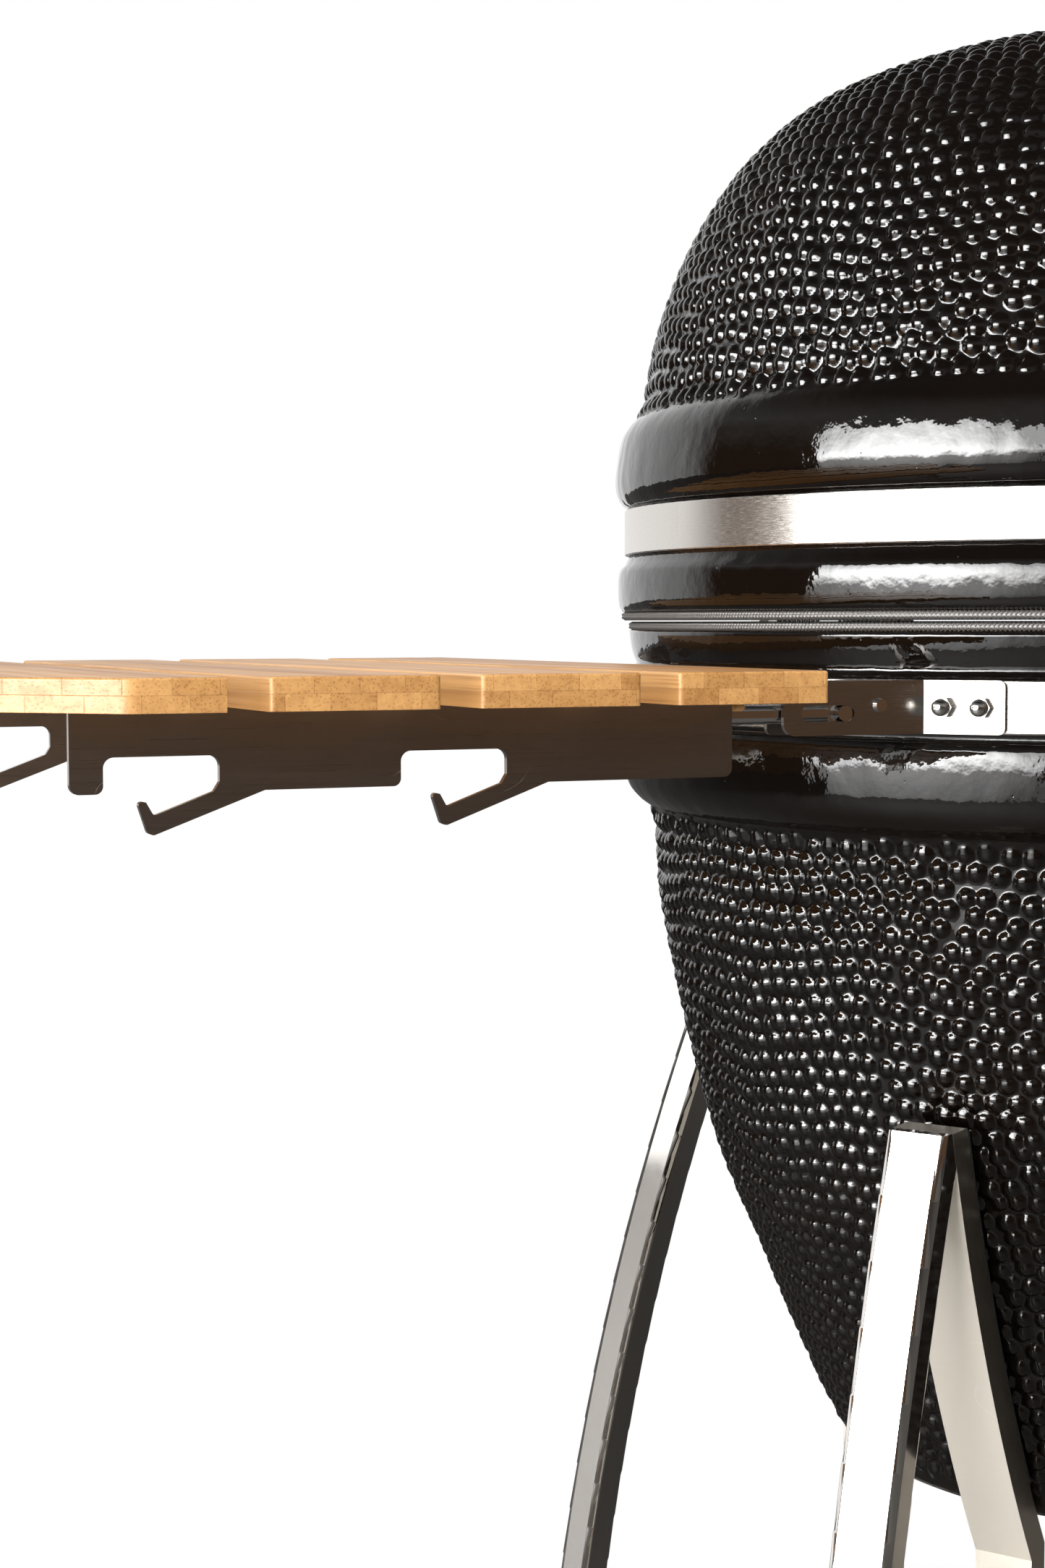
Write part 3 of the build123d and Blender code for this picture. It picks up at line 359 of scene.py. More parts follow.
def cradle_material(name, colour):
    """Brushed steel, blasted matt on the faces turned to and from the pot."""
    material = brushed_material(name, colour, (1.0, 1.0, 0.05), low=0.28, high=0.5)
    tree = material.node_tree
    where = place(tree)
    level = add_node(tree, "VectorMath", {0: where, 1: (1.0, 1.0, 0.0)}, operation="MULTIPLY").outputs[0]
    away = add_node(tree, "VectorMath", {0: level}, operation="NORMALIZE").outputs[0]
    normal = add_node(tree, "TexCoord").outputs["Normal"]
    facing = add_node(tree, "VectorMath", {0: normal, 1: away}, operation="DOT_PRODUCT").outputs["Value"]
    metallic = ramp(tree, maths(tree, "ABSOLUTE", facing), 1.0, 0.35, 0.35, 0.55)
    feed(tree, tree.nodes["Principled BSDF"], {"Metallic": metallic})
    return material


def polished_material(name, colour, roughness):
    """Mirror-polished steel with soft waves and faint wiping marks."""
    material, tree, shader = new_material(name)
    where = place(tree)
    soiling = use_group(tree, "soiling", {"Vector": where, "Scale": 16.0, "Amount": 0.5})
    wave = noise(tree, where, 22.0, 1.0)
    tone = blend_colour(tree, soiling.outputs[0], tuple(colour), shade(colour, 0.9))
    rough = ramp(tree, soiling.outputs[0], roughness, roughness + 0.10)
    feed(tree, shader, {"Base Color": tone, "Roughness": rough, "Metallic": 1.0})
    bump(tree, shader, wave, 0.10 * MM)
    return material


def bamboo_material(name, strip, layer_z, layer, along_x=False):
    """Oiled laminated bamboo, its fibres along Y or along X."""
    material, tree, shader = new_material(name)
    wood = bpy.context.scene.kamado_wood
    where = place(tree)
    if along_x:
        where = add_node(tree, "Mapping", {"Vector": where, "Rotation": (0, 0, math.pi / 2)}).outputs[0]
    inputs = {
        "Vector": where, "Strip": strip, "Light": tuple(wood.light), "Dark": tuple(wood.dark),
        "Layer Z": layer_z, "Layer": layer,
    }
    grain = use_group(tree, "bamboo", inputs)
    feed(tree, shader, {"Base Color": grain.outputs["Colour"], "Roughness": grain.outputs["Roughness"]})
    bump(tree, shader, grain.outputs["Height"], 0.12 * MM)
    return material


def rough_material(name, colour, scale, depth, low, high, metallic=0.0):
    """Cast, moulded or pressed surface with a grain of the given scale."""
    material, tree, shader = new_material(name)
    where = place(tree)
    grain = noise(tree, where, scale, 5.0)
    pale = tuple(min(value * 1.7 + 0.004, 1.0) for value in colour)
    tone = blend_colour(tree, grain, colour, pale)
    rough = ramp(tree, grain, low, high, 0.3, 0.7)
    feed(tree, shader, {"Base Color": tone, "Roughness": rough, "Metallic": metallic})
    bump(tree, shader, grain, depth)
    return material


def glass_material(name):
    """Clear flat glass."""
    material, tree, shader = new_material(name)
    grain = noise(tree, place(tree), 60.0, 2.0)
    feed(tree, shader, {
        "Base Color": (0.97, 0.99, 0.98), "Roughness": ramp(tree, grain, 0.0, 0.03),
        "Transmission Weight": 1.0, "IOR": 1.45,
    })
    return material


# ------------------------------------------------------------------ mesh helpers
def new_piece(name, mesh, materials, body, nodes=(), smooth=True):
    """Links a mesh as a piece that rides on a body."""
    piece = bpy.data.objects.new(name, mesh)
    bpy.context.collection.objects.link(piece)
    for material in materials:
        mesh.materials.append(material)
    if smooth:
        mesh.polygons.foreach_set("use_smooth", [True] * len(mesh.polygons))
    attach(piece, body)
    if nodes:
        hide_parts(*nodes)
    return piece


def nodes_with(*parts):
    """Names of the CAD nodes that hold any of the given parts."""
    return [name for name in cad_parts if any(part in name for part in parts)]


def paint(names, material, bevel=0.0, segments=2):
    """Gives CAD nodes a material and, if asked, rounded edges."""
    for name in names:
        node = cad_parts[name]
        for slot in node.material_slots:
            slot.material = material
        if not node.material_slots:
            node.data.materials.append(material)
        faces = node.data.polygons
        faces.foreach_set("use_smooth", [True] * len(faces))
        node.data.set_sharp_from_angle(angle=math.radians(35))
        if bevel:
            soften = node.modifiers.new("Edge", "BEVEL")
            soften.width = bevel
            soften.segments = segments
            soften.limit_method = "ANGLE"
            soften.angle_limit = math.radians(40)


def smooth_line(points, step):
    """Points every step or so along a smooth curve through the given points."""
    given = np.array(points, float)
    ends = np.vstack([2 * given[0] - given[1], given, 2 * given[-1] - given[-2]])
    line = [given[0]]
    for k in range(1, len(ends) - 2):
        p0, p1, p2, p3 = ends[k - 1:k + 3]
        count = max(1, int(np.linalg.norm(p2 - p1) / step))
        t1 = np.linalg.norm(p1 - p0) ** 0.5
        t2 = t1 + np.linalg.norm(p2 - p1) ** 0.5
        t3 = t2 + np.linalg.norm(p3 - p2) ** 0.5
        for t in np.linspace(t1, t2, count + 1)[1:]:
            a1 = (t1 - t) / t1 * p0 + t / t1 * p1
            a2 = (t2 - t) / (t2 - t1) * p1 + (t - t1) / (t2 - t1) * p2
            a3 = (t3 - t) / (t3 - t2) * p2 + (t - t2) / (t3 - t2) * p3
            b1 = (t2 - t) / t2 * a1 + t / t2 * a2
            b2 = (t3 - t) / (t3 - t1) * a2 + (t - t1) / (t3 - t1) * a3
            line.append((t2 - t) / (t2 - t1) * b1 + (t - t1) / (t2 - t1) * b2)
    return np.array(line)


def straight_line(points, step):
    """Points every step or so along straight runs."""
    line = [np.array(points[0], float)]
    for start, end in zip(points[:-1], points[1:]):
        start, end = np.array(start, float), np.array(end, float)
        count = max(1, int(np.linalg.norm(end - start) / step))
        line += [start + (end - start) * k / count for k in range(1, count + 1)]
    return np.array(line)


def outward(line):
    """Unit normals of an outline, to the right of its direction."""
    run = np.gradient(line, axis=0)
    run /= np.maximum(np.linalg.norm(run, axis=1), 1e-9)[:, None]
    side = 1 if line[-1, 1] > line[0, 1] else -1
    return side * np.stack([run[:, 1], -run[:, 0]], axis=1)


BEAD_CURVE = 0.90  # radius of a bead over that of the ball it is cut from
BEAD_EDGE = math.sqrt(1 - BEAD_CURVE**2)
ROW_RATIO = 0.89  # distance of bead rows, in pitches
MARGIN_RATIO = 0.45  # from the beaded strip's edge to its first row, in pitches
FADE_ROWS = 3  # rows at each end over which the waviness of the rows fades
JITTER = 0.16  # largest sideways shift of a bead, in pitches
WAVE_COUNT = 14
LID_SEED, BASE_SEED = 11, 23


def steps_around(segments):
    """Angles of the steps of a turned mesh."""
    return np.arange(segments) / segments * 2 * math.pi


def bead_height(line, segments, low, high, settings, seed):
    """Height field of irregular beads over a turned outline, between two of its rows."""
    rng = np.random.default_rng(seed)
    along = np.concatenate([[0], np.cumsum(np.linalg.norm(np.diff(line, axis=0), axis=1))])
    pitch = settings.bead_pitch
    row_step = pitch * ROW_RATIO
    start, end = np.interp((low, high), np.arange(len(along)), along)
    rows = int((end - start - pitch * 2 * MARGIN_RATIO) / row_step) + 1
    angles = steps_around(segments)
    height = np.zeros((len(line), segments))
    for j in range(rows):
        middle = start + pitch * MARGIN_RATIO + j * row_step
        fade = min(j, rows - 1 - j, FADE_ROWS) / FADE_ROWS
        radius = float(np.interp(middle, along, line[:, 0]))
        count = max(6, round(2 * math.pi * radius / pitch))
        offset = (j % 2) / 2 + rng.uniform(-0.1, 0.1)
        shift = rng.uniform(-JITTER, JITTER, count) / count * 2 * math.pi
        places = (np.arange(count) + offset) / count * 2 * math.pi + shift
        swell = 0.40 * np.sin(5 * places + 0.12 * j + seed) + 0.22 * np.sin(11 * places - 0.2 * j)
        rise = middle + (rng.uniform(-0.15, 0.15, count) + fade * swell) * pitch
        size = pitch * rng.uniform(0.44, 0.50, count)
        tall = settings.bead_height * rng.uniform(0.85, 1.0, count)
        near = np.where(np.abs(along - middle) < 2 * pitch)[0]
        first = np.floor(angles / (2 * math.pi) * count - offset).astype(int)
        for step in (-1, 0, 1, 2):
            pick = (first + step) % count
            turn = (angles - places[pick] + math.pi) % (2 * math.pi) - math.pi
            for i in near:
                gap = np.hypot(turn * line[i, 0], along[i] - rise[pick]) / size[pick]
                cap = (np.sqrt(np.clip(1 - (BEAD_CURVE * gap) ** 2, 0, 1)) - BEAD_EDGE) / (1 - BEAD_EDGE)
                height[i] = np.maximum(height[i], tall[pick] * np.where(gap < 1, cap, 0))
    return height


def turned_mesh(name, line, height, segments, keep=None, inside_from=None):
    """Mesh of a closed outline (radius, height), turned about the axis and displaced along its normals."""
    normals = np.zeros((len(line), 2))
    normals[:inside_from] = outward(line[:inside_from])
    angles = steps_around(segments)
    radius = line[:, 0, None] + height * normals[:, 0, None]
    level = line[:, 1, None] + height * normals[:, 1, None]
    level = np.broadcast_to(level, radius.shape)
    points = np.stack([radius * -np.sin(angles), radius * -np.cos(angles), level], axis=-1)
    rows = len(line)
    index = np.arange(rows * segments).reshape(rows, segments)
    upper = np.roll(index, -1, axis=0)
    faces = np.stack([index, np.roll(index, -1, axis=1), np.roll(upper, -1, axis=1), upper], axis=-1)
    row_of = np.repeat(np.arange(rows), segments)
    faces = faces.reshape(-1, 4)
    flat = points.reshape(-1, 3)
    if keep is not None:
        wanted = keep(flat[faces].mean(axis=1))
        faces, row_of = faces[wanted], row_of[wanted]
    mesh = bpy.data.meshes.new(name)
    mesh.vertices.add(len(flat))
    mesh.vertices.foreach_set("co", flat.astype(np.float32).ravel())
    mesh.loops.add(faces.size)
    mesh.loops.foreach_set("vertex_index", faces.astype(np.int32).ravel())
    mesh.polygons.add(len(faces))
    mesh.polygons.foreach_set("loop_start", np.arange(0, faces.size, 4, dtype=np.int32))
    if inside_from is not None:
        mesh.polygons.foreach_set("material_index", (row_of >= inside_from).astype(np.int32))
    mesh.update(calc_edges=True)
    return mesh


def wave_height(line, segments, rows, depth, seed):
    """Slow unevenness of hand-dipped glaze over the given rows of an outline."""
    rng = np.random.default_rng(seed)
    angles = steps_around(segments)
    height = np.zeros((len(line), segments))
    along = np.arange(len(line))[:, None]
    for _ in range(WAVE_COUNT):
        turns = rng.integers(20, 110)
        rate = rng.uniform(0.02, 0.22)
        phase = rng.uniform(0, 2 * math.pi)
        height += np.sin(turns * angles[None, :] + rate * along + phase) / WAVE_COUNT
    mask = np.zeros(len(line))
    mask[rows[0]:rows[1]] = 1
    return height * depth * mask[:, None]


def from_bmesh(name, build):
    """Mesh made by a function that fills a bmesh."""
    mesh = bpy.data.meshes.new(name)
    bm = bmesh.new()
    build(bm)
    bm.to_mesh(mesh)
    bm.free()
    return mesh


def curve_mesh(name, curve):
    """Mesh of a curve or a text, which is then removed."""
    holder = bpy.data.objects.new(name, curve)
    mesh = bpy.data.meshes.new_from_object(holder)
    bpy.data.objects.remove(holder)
    bpy.data.curves.remove(curve)
    mesh.name = name
    return mesh


def tube_along(name, points, radius, sides):
    """Round tube along a list of points."""
    curve = bpy.data.curves.new(name + "_path", "CURVE")
    curve.dimensions = "3D"
    spline = curve.splines.new("POLY")
    spline.points.add(len(points) - 1)
    for point, place_of in zip(spline.points, points):
        point.co = (*place_of, 1.0)
    curve.bevel_depth = radius
    curve.bevel_resolution = sides
    curve.use_fill_caps = True
    return curve_mesh(name, curve)


# ------------------------------------------------------------------ ceramic shells
# Outlines: radius and height over the seam, in millimetres.
LID_RING = [
    (286.5, 5.2), (288.1, 8.0), (288.6, 12.0), (288.6, 24.0), (287.6, 28.5), (285.0, 31.0),
    (283.9, 33.5), (282.3, 36.0), (282.3, 62.0), (284.0, 62.9), (286.0, 64.2), (288.2, 67.2),
    (289.8, 72.0), (290.2, 78.0), (289.6, 85.0), (288.4, 93.0), (286.5, 101.0), (282.4, 108.0),
    (277.0, 113.0),
]
LID_DOME = [
    (277.0, 113.0), (274.9, 124.0), (273.5, 134.0), (264.7, 170.0), (247.9, 210.0),
    (220.8, 250.0), (185.0, 280.0), (130.0, 301.0), (76.0, 312.5), (52.0, 315.8),
]
LID_TOP = [(52.0, 315.8), (46.0, 316.8), (34.0, 317.0), (34.0, 305.0), (34.0, 290.0)]
BASE_RING = [
    (282.5, -5.2), (281.7, -12.7), (280.0, -19.5), (278.4, -23.0), (279.5, -25.4), (282.3, -26.9),
    (282.3, -53.4), (281.0, -55.1), (282.6, -56.4), (284.3, -59.1), (285.3, -66.0), (285.6, -73.0),
    (285.3, -80.0), (284.3, -87.0), (281.6, -93.0), (276.6, -98.6), (270.5, -103.0),
]
BASE_BODY = [
    (270.5, -103.0), (268.0, -120.0), (265.9, -150.0), (256.8, -200.0), (245.3, -250.0), (230.7, -300.0),
    (209.5, -350.0), (188.5, -400.0), (169.0, -442.0), (162.0, -452.0),
]
BASE_FOOT = [(162.0, -452.0), (158.0, -459.5), (146.0, -466.0), (120.0, -466.0), (1.0, -466.0)]
RING_STEP, BEAD_STEP, END_STEP = 2.2, 1.2, 3.0  # row distances along the outlines
INNER_EVERY = 4  # the bare inner face takes every fourth row
RIM_STEP = 6 * MM
SINK_ROWS = 5  # rows over which the surface sinks by a bead's height
WAVE_DEPTH = 0.22 * MM
DRAFT_Z = SEAM_Z - 373 * MM
# The draft boss, loop by loop: half width, half height, y and corner radius, in millimetres.
BOSS_LOOPS = (
    (80, 40, -150, 8), (80, 40, -222, 8), (79, 39, -225, 7.5), (77, 37, -226, 7),
    (64.5, 29.5, -226, 1), (63.4, 28.4, -225, 0.6), (63.2, 28.2, -160, 0.5),
)
CORNER_STEP = 15  # degrees
RIM_R = 258.0


def shell_outline(ring, beaded, end):
    """Outer outline in metres, with the row numbers where beads start and stop."""
    first = smooth_line(ring, RING_STEP)
    middle = smooth_line(beaded, BEAD_STEP)
    last = smooth_line(end, END_STEP)
    line = np.vstack([first, middle[1:], last[1:]]) * MM
    line[:, 1] += SEAM_Z
    return line, len(first) - 1, len(first) + len(middle) - 2


def over_seam(*points):
    """Points (radius, height over the seam) in millimetres, turned to metres in the frame."""
    return list(np.array(points) * MM + np.array([0, SEAM_Z]))


def inner_rows(outline):
    """Inner face of a wall, from the end of its outer outline back to the start."""
    return (outline - outward(outline) * WALL)[::-1][::INNER_EVERY]


def build_shell(name, node, body, outline, beads, inner, settings, seed, keep=None):
    """A glazed, beaded shell with a bare inner face."""
    line, bead_first, bead_last = outline
    whole = np.vstack([line, inner])
    height = np.zeros((len(whole), settings.segments))
    low, high = bead_first + beads[0], bead_last + beads[1]
    beaded = bead_height(line, settings.segments, low, high, settings, seed)
    sunk = settings.bead_height * bead_mask(len(line), bead_first, bead_last, SINK_ROWS)[:, None]
    height[:len(line)] = beaded - sunk
    waved = (8, bead_first - 2)
    height[:len(line)] += wave_height(line, settings.segments, waved, WAVE_DEPTH, seed + 1)
    mesh = turned_mesh(name, whole, height, settings.segments, keep, len(line))
    glaze = glaze_material(name + "_glaze")
    clay = clay_material(name + "_clay", (0.42, 0.34, 0.26), 0.8)
    return new_piece(name, mesh, [glaze, clay], body, [node])


def bead_mask(count, first, last, fade):
    """One in the beaded rows, fading to zero at both ends."""
    rows = np.arange(count)
    return np.clip(np.minimum(rows - first, last - rows) / fade, 0, 1)


# ------------------------------------------------------------------ pieces
class KAMADO_OT_lid_shell(Operator):
    """Glazed lid with raised beads over the dome"""

    bl_idname = "kamado.lid_shell"
    bl_label = "Lid shell"

    def execute(self, context):
        settings = context.scene.kamado_glaze
        line, first, last = shell_outline(LID_RING, LID_DOME, LID_TOP)
        inner = inner_rows(line[first:last])
        rim = straight_line(over_seam((RIM_R, 80.0), (RIM_R, 5.2)), RIM_STEP)
        inner = np.vstack([inner[inner[:, 0] > 35 * MM], rim])
        outline = line, first, last
        build_shell("lid_glazed", "lid_shell", "lid", outline, (0, 2), inner, settings, LID_SEED)
        return {"FINISHED"}


class KAMADO_OT_base_shell(Operator):
    """Glazed pot with raised beads and its draft boss"""

    bl_idname = "kamado.base_shell"
    bl_label = "Base shell"

    def execute(self, context):
        settings = context.scene.kamado_glaze
        line, first, last = shell_outline(BASE_RING, BASE_BODY, BASE_FOOT)
        inner = inner_rows(line[first:last])
        floor = over_seam((1.0, -441.0), (130.0, -441.0))
        rim = straight_line(over_seam((RIM_R, -90.0), (RIM_R, -5.2)), RIM_STEP)
        inner = inner[inner[:, 1] > floor[0][1]]
        inner = np.vstack([straight_line(floor, 12 * MM), inner, rim])
        half_w, half_h = 63 * MM, 28 * MM

        def keep(centres):
            x, y, z = centres.T
            return ~((np.abs(x) < half_w) & (np.abs(z - DRAFT_Z) < half_h) & (y < 0))

        outline = line, first, last
        build_shell("base_glazed", "base_shell", "base", outline, (2, 0), inner, settings, BASE_SEED, keep)

        def boss(bm):
            loops = []
            for half_x, half_z, y, corner in BOSS_LOOPS:
                loop = []
                for quarter, (sx, sz) in enumerate(((1, 1), (-1, 1), (-1, -1), (1, -1))):
                    for degrees in range(0, 91, CORNER_STEP):
                        turn = math.radians(90 * quarter + degrees)
                        x = sx * (half_x - corner) + corner * math.cos(turn)
                        z = sz * (half_z - corner) + corner * math.sin(turn)
                        loop.append(bm.verts.new((x * MM, y * MM, DRAFT_Z + z * MM)))
                loops.append(loop)
            for a, b in zip(loops[:-1], loops[1:]):
                for k in range(len(a)):
                    bm.faces.new((a[k], a[k - 1], b[k - 1], b[k]))

        mesh = from_bmesh("draft_boss", boss)
        glaze = glaze_material("boss_glaze")
        piece = new_piece("draft_boss", mesh, [glaze], "base")
        piece.modifiers.new("Edge", "WEIGHTED_NORMAL").keep_sharp = True
        return {"FINISHED"}


BRAID_SEGMENTS, BRAID_STRANDS = 3200, 800
BRAID_DEPTH = 0.75 * MM


class KAMADO_OT_gaskets(Operator):
    """Braided wire gaskets around both rims"""

    bl_idname = "kamado.gaskets"
    bl_label = "Gaskets"

    def execute(self, context):
        for name, body in (("lid_gasket", "lid"), ("base_gasket", "base")):
            low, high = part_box(name)
            middle_z, half_z = (low[2] + high[2]) / 2, (high[2] - low[2]) / 2
            outer, width = high[0], 21 * MM
            # Around the section: 17 steps over the braided front, 4 over the hidden back.
            turn = np.concatenate([np.linspace(-0.5, 0.5, 17), [0.62, 0.8, 1.2, 1.38]]) * math.pi
            around = steps_around(BRAID_SEGMENTS)
            ring_r = outer - half_z + half_z * np.maximum(np.cos(turn), -(width / half_z - 1)) * 0.96
            ring_r = np.where(np.abs(turn) > 0.55 * math.pi, outer - width, ring_r)
            ring_z = middle_z - half_z * np.sin(turn) * 0.98
            line = np.stack([ring_r, ring_z], axis=1)
            lay = turn[:, None] / math.pi * 3
            weave = np.where(np.floor(lay) % 2 == 0, 1, -1)
            strand = np.sin(around[None, :] * BRAID_STRANDS + weave * (lay % 1) * math.pi * 1.6)
            groove = np.abs(np.sin(lay * math.pi)) ** 0.4
            braid = (0.5 + 0.5 * strand) * groove
            points_r = ring_r[:, None] - (1 - braid) * BRAID_DEPTH * np.cos(turn)[:, None]
            points_z = ring_z[:, None] + (1 - braid) * BRAID_DEPTH * np.sin(turn)[:, None]
            mesh = turned_mesh(name + "_braid", line, np.zeros(strand.shape), BRAID_SEGMENTS)
            co = np.stack([points_r * -np.sin(around), points_r * -np.cos(around), points_z], axis=-1)
            mesh.vertices.foreach_set("co", co.astype(np.float32).ravel())
            mesh.update()
            material = rough_material(name + "_wire", (0.11, 0.105, 0.10), 900.0, 0.1 * MM, 0.35, 0.55, 0.4)
            new_piece(name + "_braid", mesh, [material], body, [name])
        return {"FINISHED"}


class KAMADO_OT_bands(Operator):
    """Brushed finish of the bands, straps and plates"""

    bl_idname = "kamado.bands"
    bl_label = "Bands and plates"

    def execute(self, context):
        metal = context.scene.kamado_metal
        band = brushed_material("band_steel", tuple(metal.band), (1, 1, 1), around=True)
        paint(["upper_band", "lower_band"], band, metal.bevel)
        plate = brushed_material(
            "plate_steel", tuple(metal.plate), (0.006, 1.0, 1.0), low=0.24, high=0.40, stain=0.5
        )
        paint(nodes_with("hook_plate", "clevis"), plate, metal.bevel)
        strap = brushed_material("strap_steel", (0.66, 0.63, 0.59), (0.012, 0.012, 1.0), low=0.15, high=0.3)
        paint(nodes_with("strap_", "bracket", "handle_posts"), strap, metal.bevel)
        return {"FINISHED"}


class KAMADO_OT_stand(Operator):
    """Polished legs, satin cradle and cross bars, pads and feet"""

    bl_idname = "kamado.stand"
    bl_label = "Stand"

    def execute(self, context):
        metal = context.scene.kamado_metal
        tube = polished_material("tube_steel", tuple(metal.tube), 0.05)
        paint(nodes_with("leg_"), tube)
        satin = cradle_material("cradle_steel", (0.86, 0.80, 0.70))
        paint(nodes_with("cradle_front", "cradle_rear"), satin, 0.8 * MM, 3)
        cross = brushed_material("cross_steel", (0.62, 0.59, 0.55), (0.05, 0.05, 1.0), low=0.2, high=0.4)
        paint(["cross_bars"], cross, 1.5 * MM, 3)
        felt = rough_material("felt", (0.022, 0.021, 0.020), 900.0, 0.5 * MM, 0.9, 1.0)
        paint(["cradle_pads"], felt, 0.5 * MM)
        rubber = rough_material("rubber", (0.018, 0.018, 0.018), 500.0, 0.2 * MM, 0.55, 0.8)
        paint(["foot_plugs"], rubber, 1.0 * MM)
        return {"FINISHED"}


class KAMADO_OT_shelves(Operator):
    """Bamboo slats, their pins, nuts and screws"""

    bl_idname = "kamado.shelves"
    bl_label = "Shelves"

    def execute(self, context):
        low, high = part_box("left_slat_1")
        layer = (high[2] - low[2]) / 2
        bamboo = bamboo_material("bamboo_slats", context.scene.kamado_wood.strip, low[2], layer)
        paint(nodes_with("_slat_"), bamboo, 0.6 * MM)
        bolts = polished_material("bright_fasteners", (0.80, 0.79, 0.77), 0.08)
        paint(nodes_with("_pins", "_rods", "_nuts", "_screws", "hinge_pin"), bolts, 0.3 * MM)
        return {"FINISHED"}


class KAMADO_OT_handle(Operator):
    """Bamboo grip of the lid handle"""

    bl_idname = "kamado.handle"
    bl_label = "Handle"

    def execute(self, context):
        low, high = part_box("handle_grip")
        layer = (high[2] - low[2]) / 2
        material = bamboo_material("bamboo_grip", 13 * MM, low[2], layer, along_x=True)
        paint(["handle_grip"], material)
        return {"FINISHED"}


class KAMADO_OT_springs(Operator):
    """Coil springs on the hinge pin"""

    bl_idname = "kamado.springs"
    bl_label = "Springs"

    def execute(self, context):
        low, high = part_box("hinge_springs")
        middle = (low + high) / 2
        wire = 1.25 * MM
        radius = (high[2] - low[2]) / 2 - wire
        inner_x = 8 * MM
        turns, steps = 9, 24
        material = polished_material("spring_wire", (0.45, 0.44, 0.42), 0.16)
        for label, sign in (("left", -1), ("right", 1)):
            start, end = sign * (inner_x + wire), sign * (high[0] - wire)
            points = []
            for k in range(turns * steps + 1):
                turn = 2 * math.pi * k / steps
                x = start + (end - start) * k / (turns * steps)
                y, z = middle[1] + radius * math.cos(turn), middle[2] + radius * math.sin(turn)
                points.append((x, y, z))
            mesh = tube_along("spring_" + label, points, wire, 3)
            new_piece("spring_" + label, mesh, [material], "base", ["hinge_springs"])
        return {"FINISHED"}


DIAL_START, DIAL_SWEEP = 225, 270  # degrees
DIAL_TICKS, TICKS_A_NUMBER = 31, 5


class KAMADO_OT_thermometer(Operator):
    """Thermometer with ticks and plain numbers on its dial"""

    bl_idname = "kamado.thermometer"
    bl_label = "Thermometer"

    def execute(self, context):
        steel = polished_material("bezel_steel", (0.78, 0.76, 0.74), 0.08)
        paint(["thermometer_housing"], steel, 0.4 * MM)
        white = rough_material("dial_face", (0.80, 0.79, 0.76), 300.0, 0.02 * MM, 0.35, 0.5)
        paint(["thermometer_dial"], white)
        red = rough_material("needle_red", (0.55, 0.02, 0.015), 200.0, 0.02 * MM, 0.3, 0.45)
        paint(["thermometer_needle"], red)
        paint(["thermometer_lens"], glass_material("dial_glass"))
        low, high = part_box("thermometer_dial")
        middle = (low + high) / 2
        tilt = math.radians(22)
        up = Vector((0, math.sin(tilt), math.cos(tilt)))
        out = Vector((0, -math.cos(tilt), math.sin(tilt)))
        across = Vector((1, 0, 0))
        radius = (high[0] - low[0]) / 2
        co = np.array([v.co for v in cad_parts["thermometer_dial"].data.vertices])
        face = (co @ np.array(out)).max() + 0.02 * MM
        centre = middle + out * (face - middle.dot(out))
        ink = rough_material("dial_ink", (0.012, 0.012, 0.014), 200.0, 0.01 * MM, 0.4, 0.6)

        def ticks(bm):
            for k in range(DIAL_TICKS):
                turn = math.radians(DIAL_START - DIAL_SWEEP / (DIAL_TICKS - 1) * k)
                major = k % TICKS_A_NUMBER == 0
                spoke = across * math.cos(turn) + up * math.sin(turn)
                side = across * -math.sin(turn) + up * math.cos(turn)
                width = (0.5 if major else 0.25) * MM
                inner = radius * (0.80 if major else 0.86)
                near, far = centre + spoke * inner, centre + spoke * radius * 0.92
                corners = (near - side * width, far - side * width, far + side * width, near + side * width)
                bm.faces.new([bm.verts.new(corner) for corner in corners])

        new_piece("dial_ticks", from_bmesh("dial_ticks", ticks), [ink], "lid", smooth=False)
        basis = Matrix((across, up, out)).transposed().to_4x4()
        for k in range((DIAL_TICKS - 1) // TICKS_A_NUMBER + 1):
            turn = math.radians(DIAL_START - DIAL_SWEEP * TICKS_A_NUMBER / (DIAL_TICKS - 1) * k)
            curve = bpy.data.curves.new(f"number_{k}", "FONT")
            curve.body = str(100 * (k + 1))
            curve.size = radius * 0.20
            curve.align_x, curve.align_y = "CENTER", "CENTER"
            mesh = curve_mesh(f"number_{k}", curve)
            spot = centre + (across * math.cos(turn) + up * math.sin(turn)) * radius * 0.63
            mesh.transform(Matrix.Translation(spot) @ basis)
            new_piece(f"dial_number_{k}", mesh, [ink], "lid", smooth=False)
        return {"FINISHED"}


class KAMADO_OT_chimney(Operator):
    """Cast chimney cap and damper"""

    bl_idname = "kamado.chimney"
    bl_label = "Chimney"

    def execute(self, context):
        iron = rough_material("cast_iron", (0.020, 0.019, 0.019), 380.0, 0.3 * MM, 0.4, 0.62)
        paint(["damper_body", "damper_cap"], iron, 0.8 * MM)
        return {"FINISHED"}


class KAMADO_OT_draft(Operator):
    """Draft door, its frame and screen"""

    bl_idname = "kamado.draft"
    bl_label = "Draft door"

    def execute(self, context):
        steel = brushed_material("draft_steel", (0.62, 0.60, 0.57), (0.04, 1.0, 1.0), low=0.2, high=0.4)
        paint(["draft_frame", "draft_door"], steel, 0.4 * MM)
        screen = brushed_material("screen_steel", (0.5, 0.49, 0.47), (1.0, 1.0, 0.05), low=0.3, high=0.5)
        paint(["draft_screen"], screen)
        return {"FINISHED"}


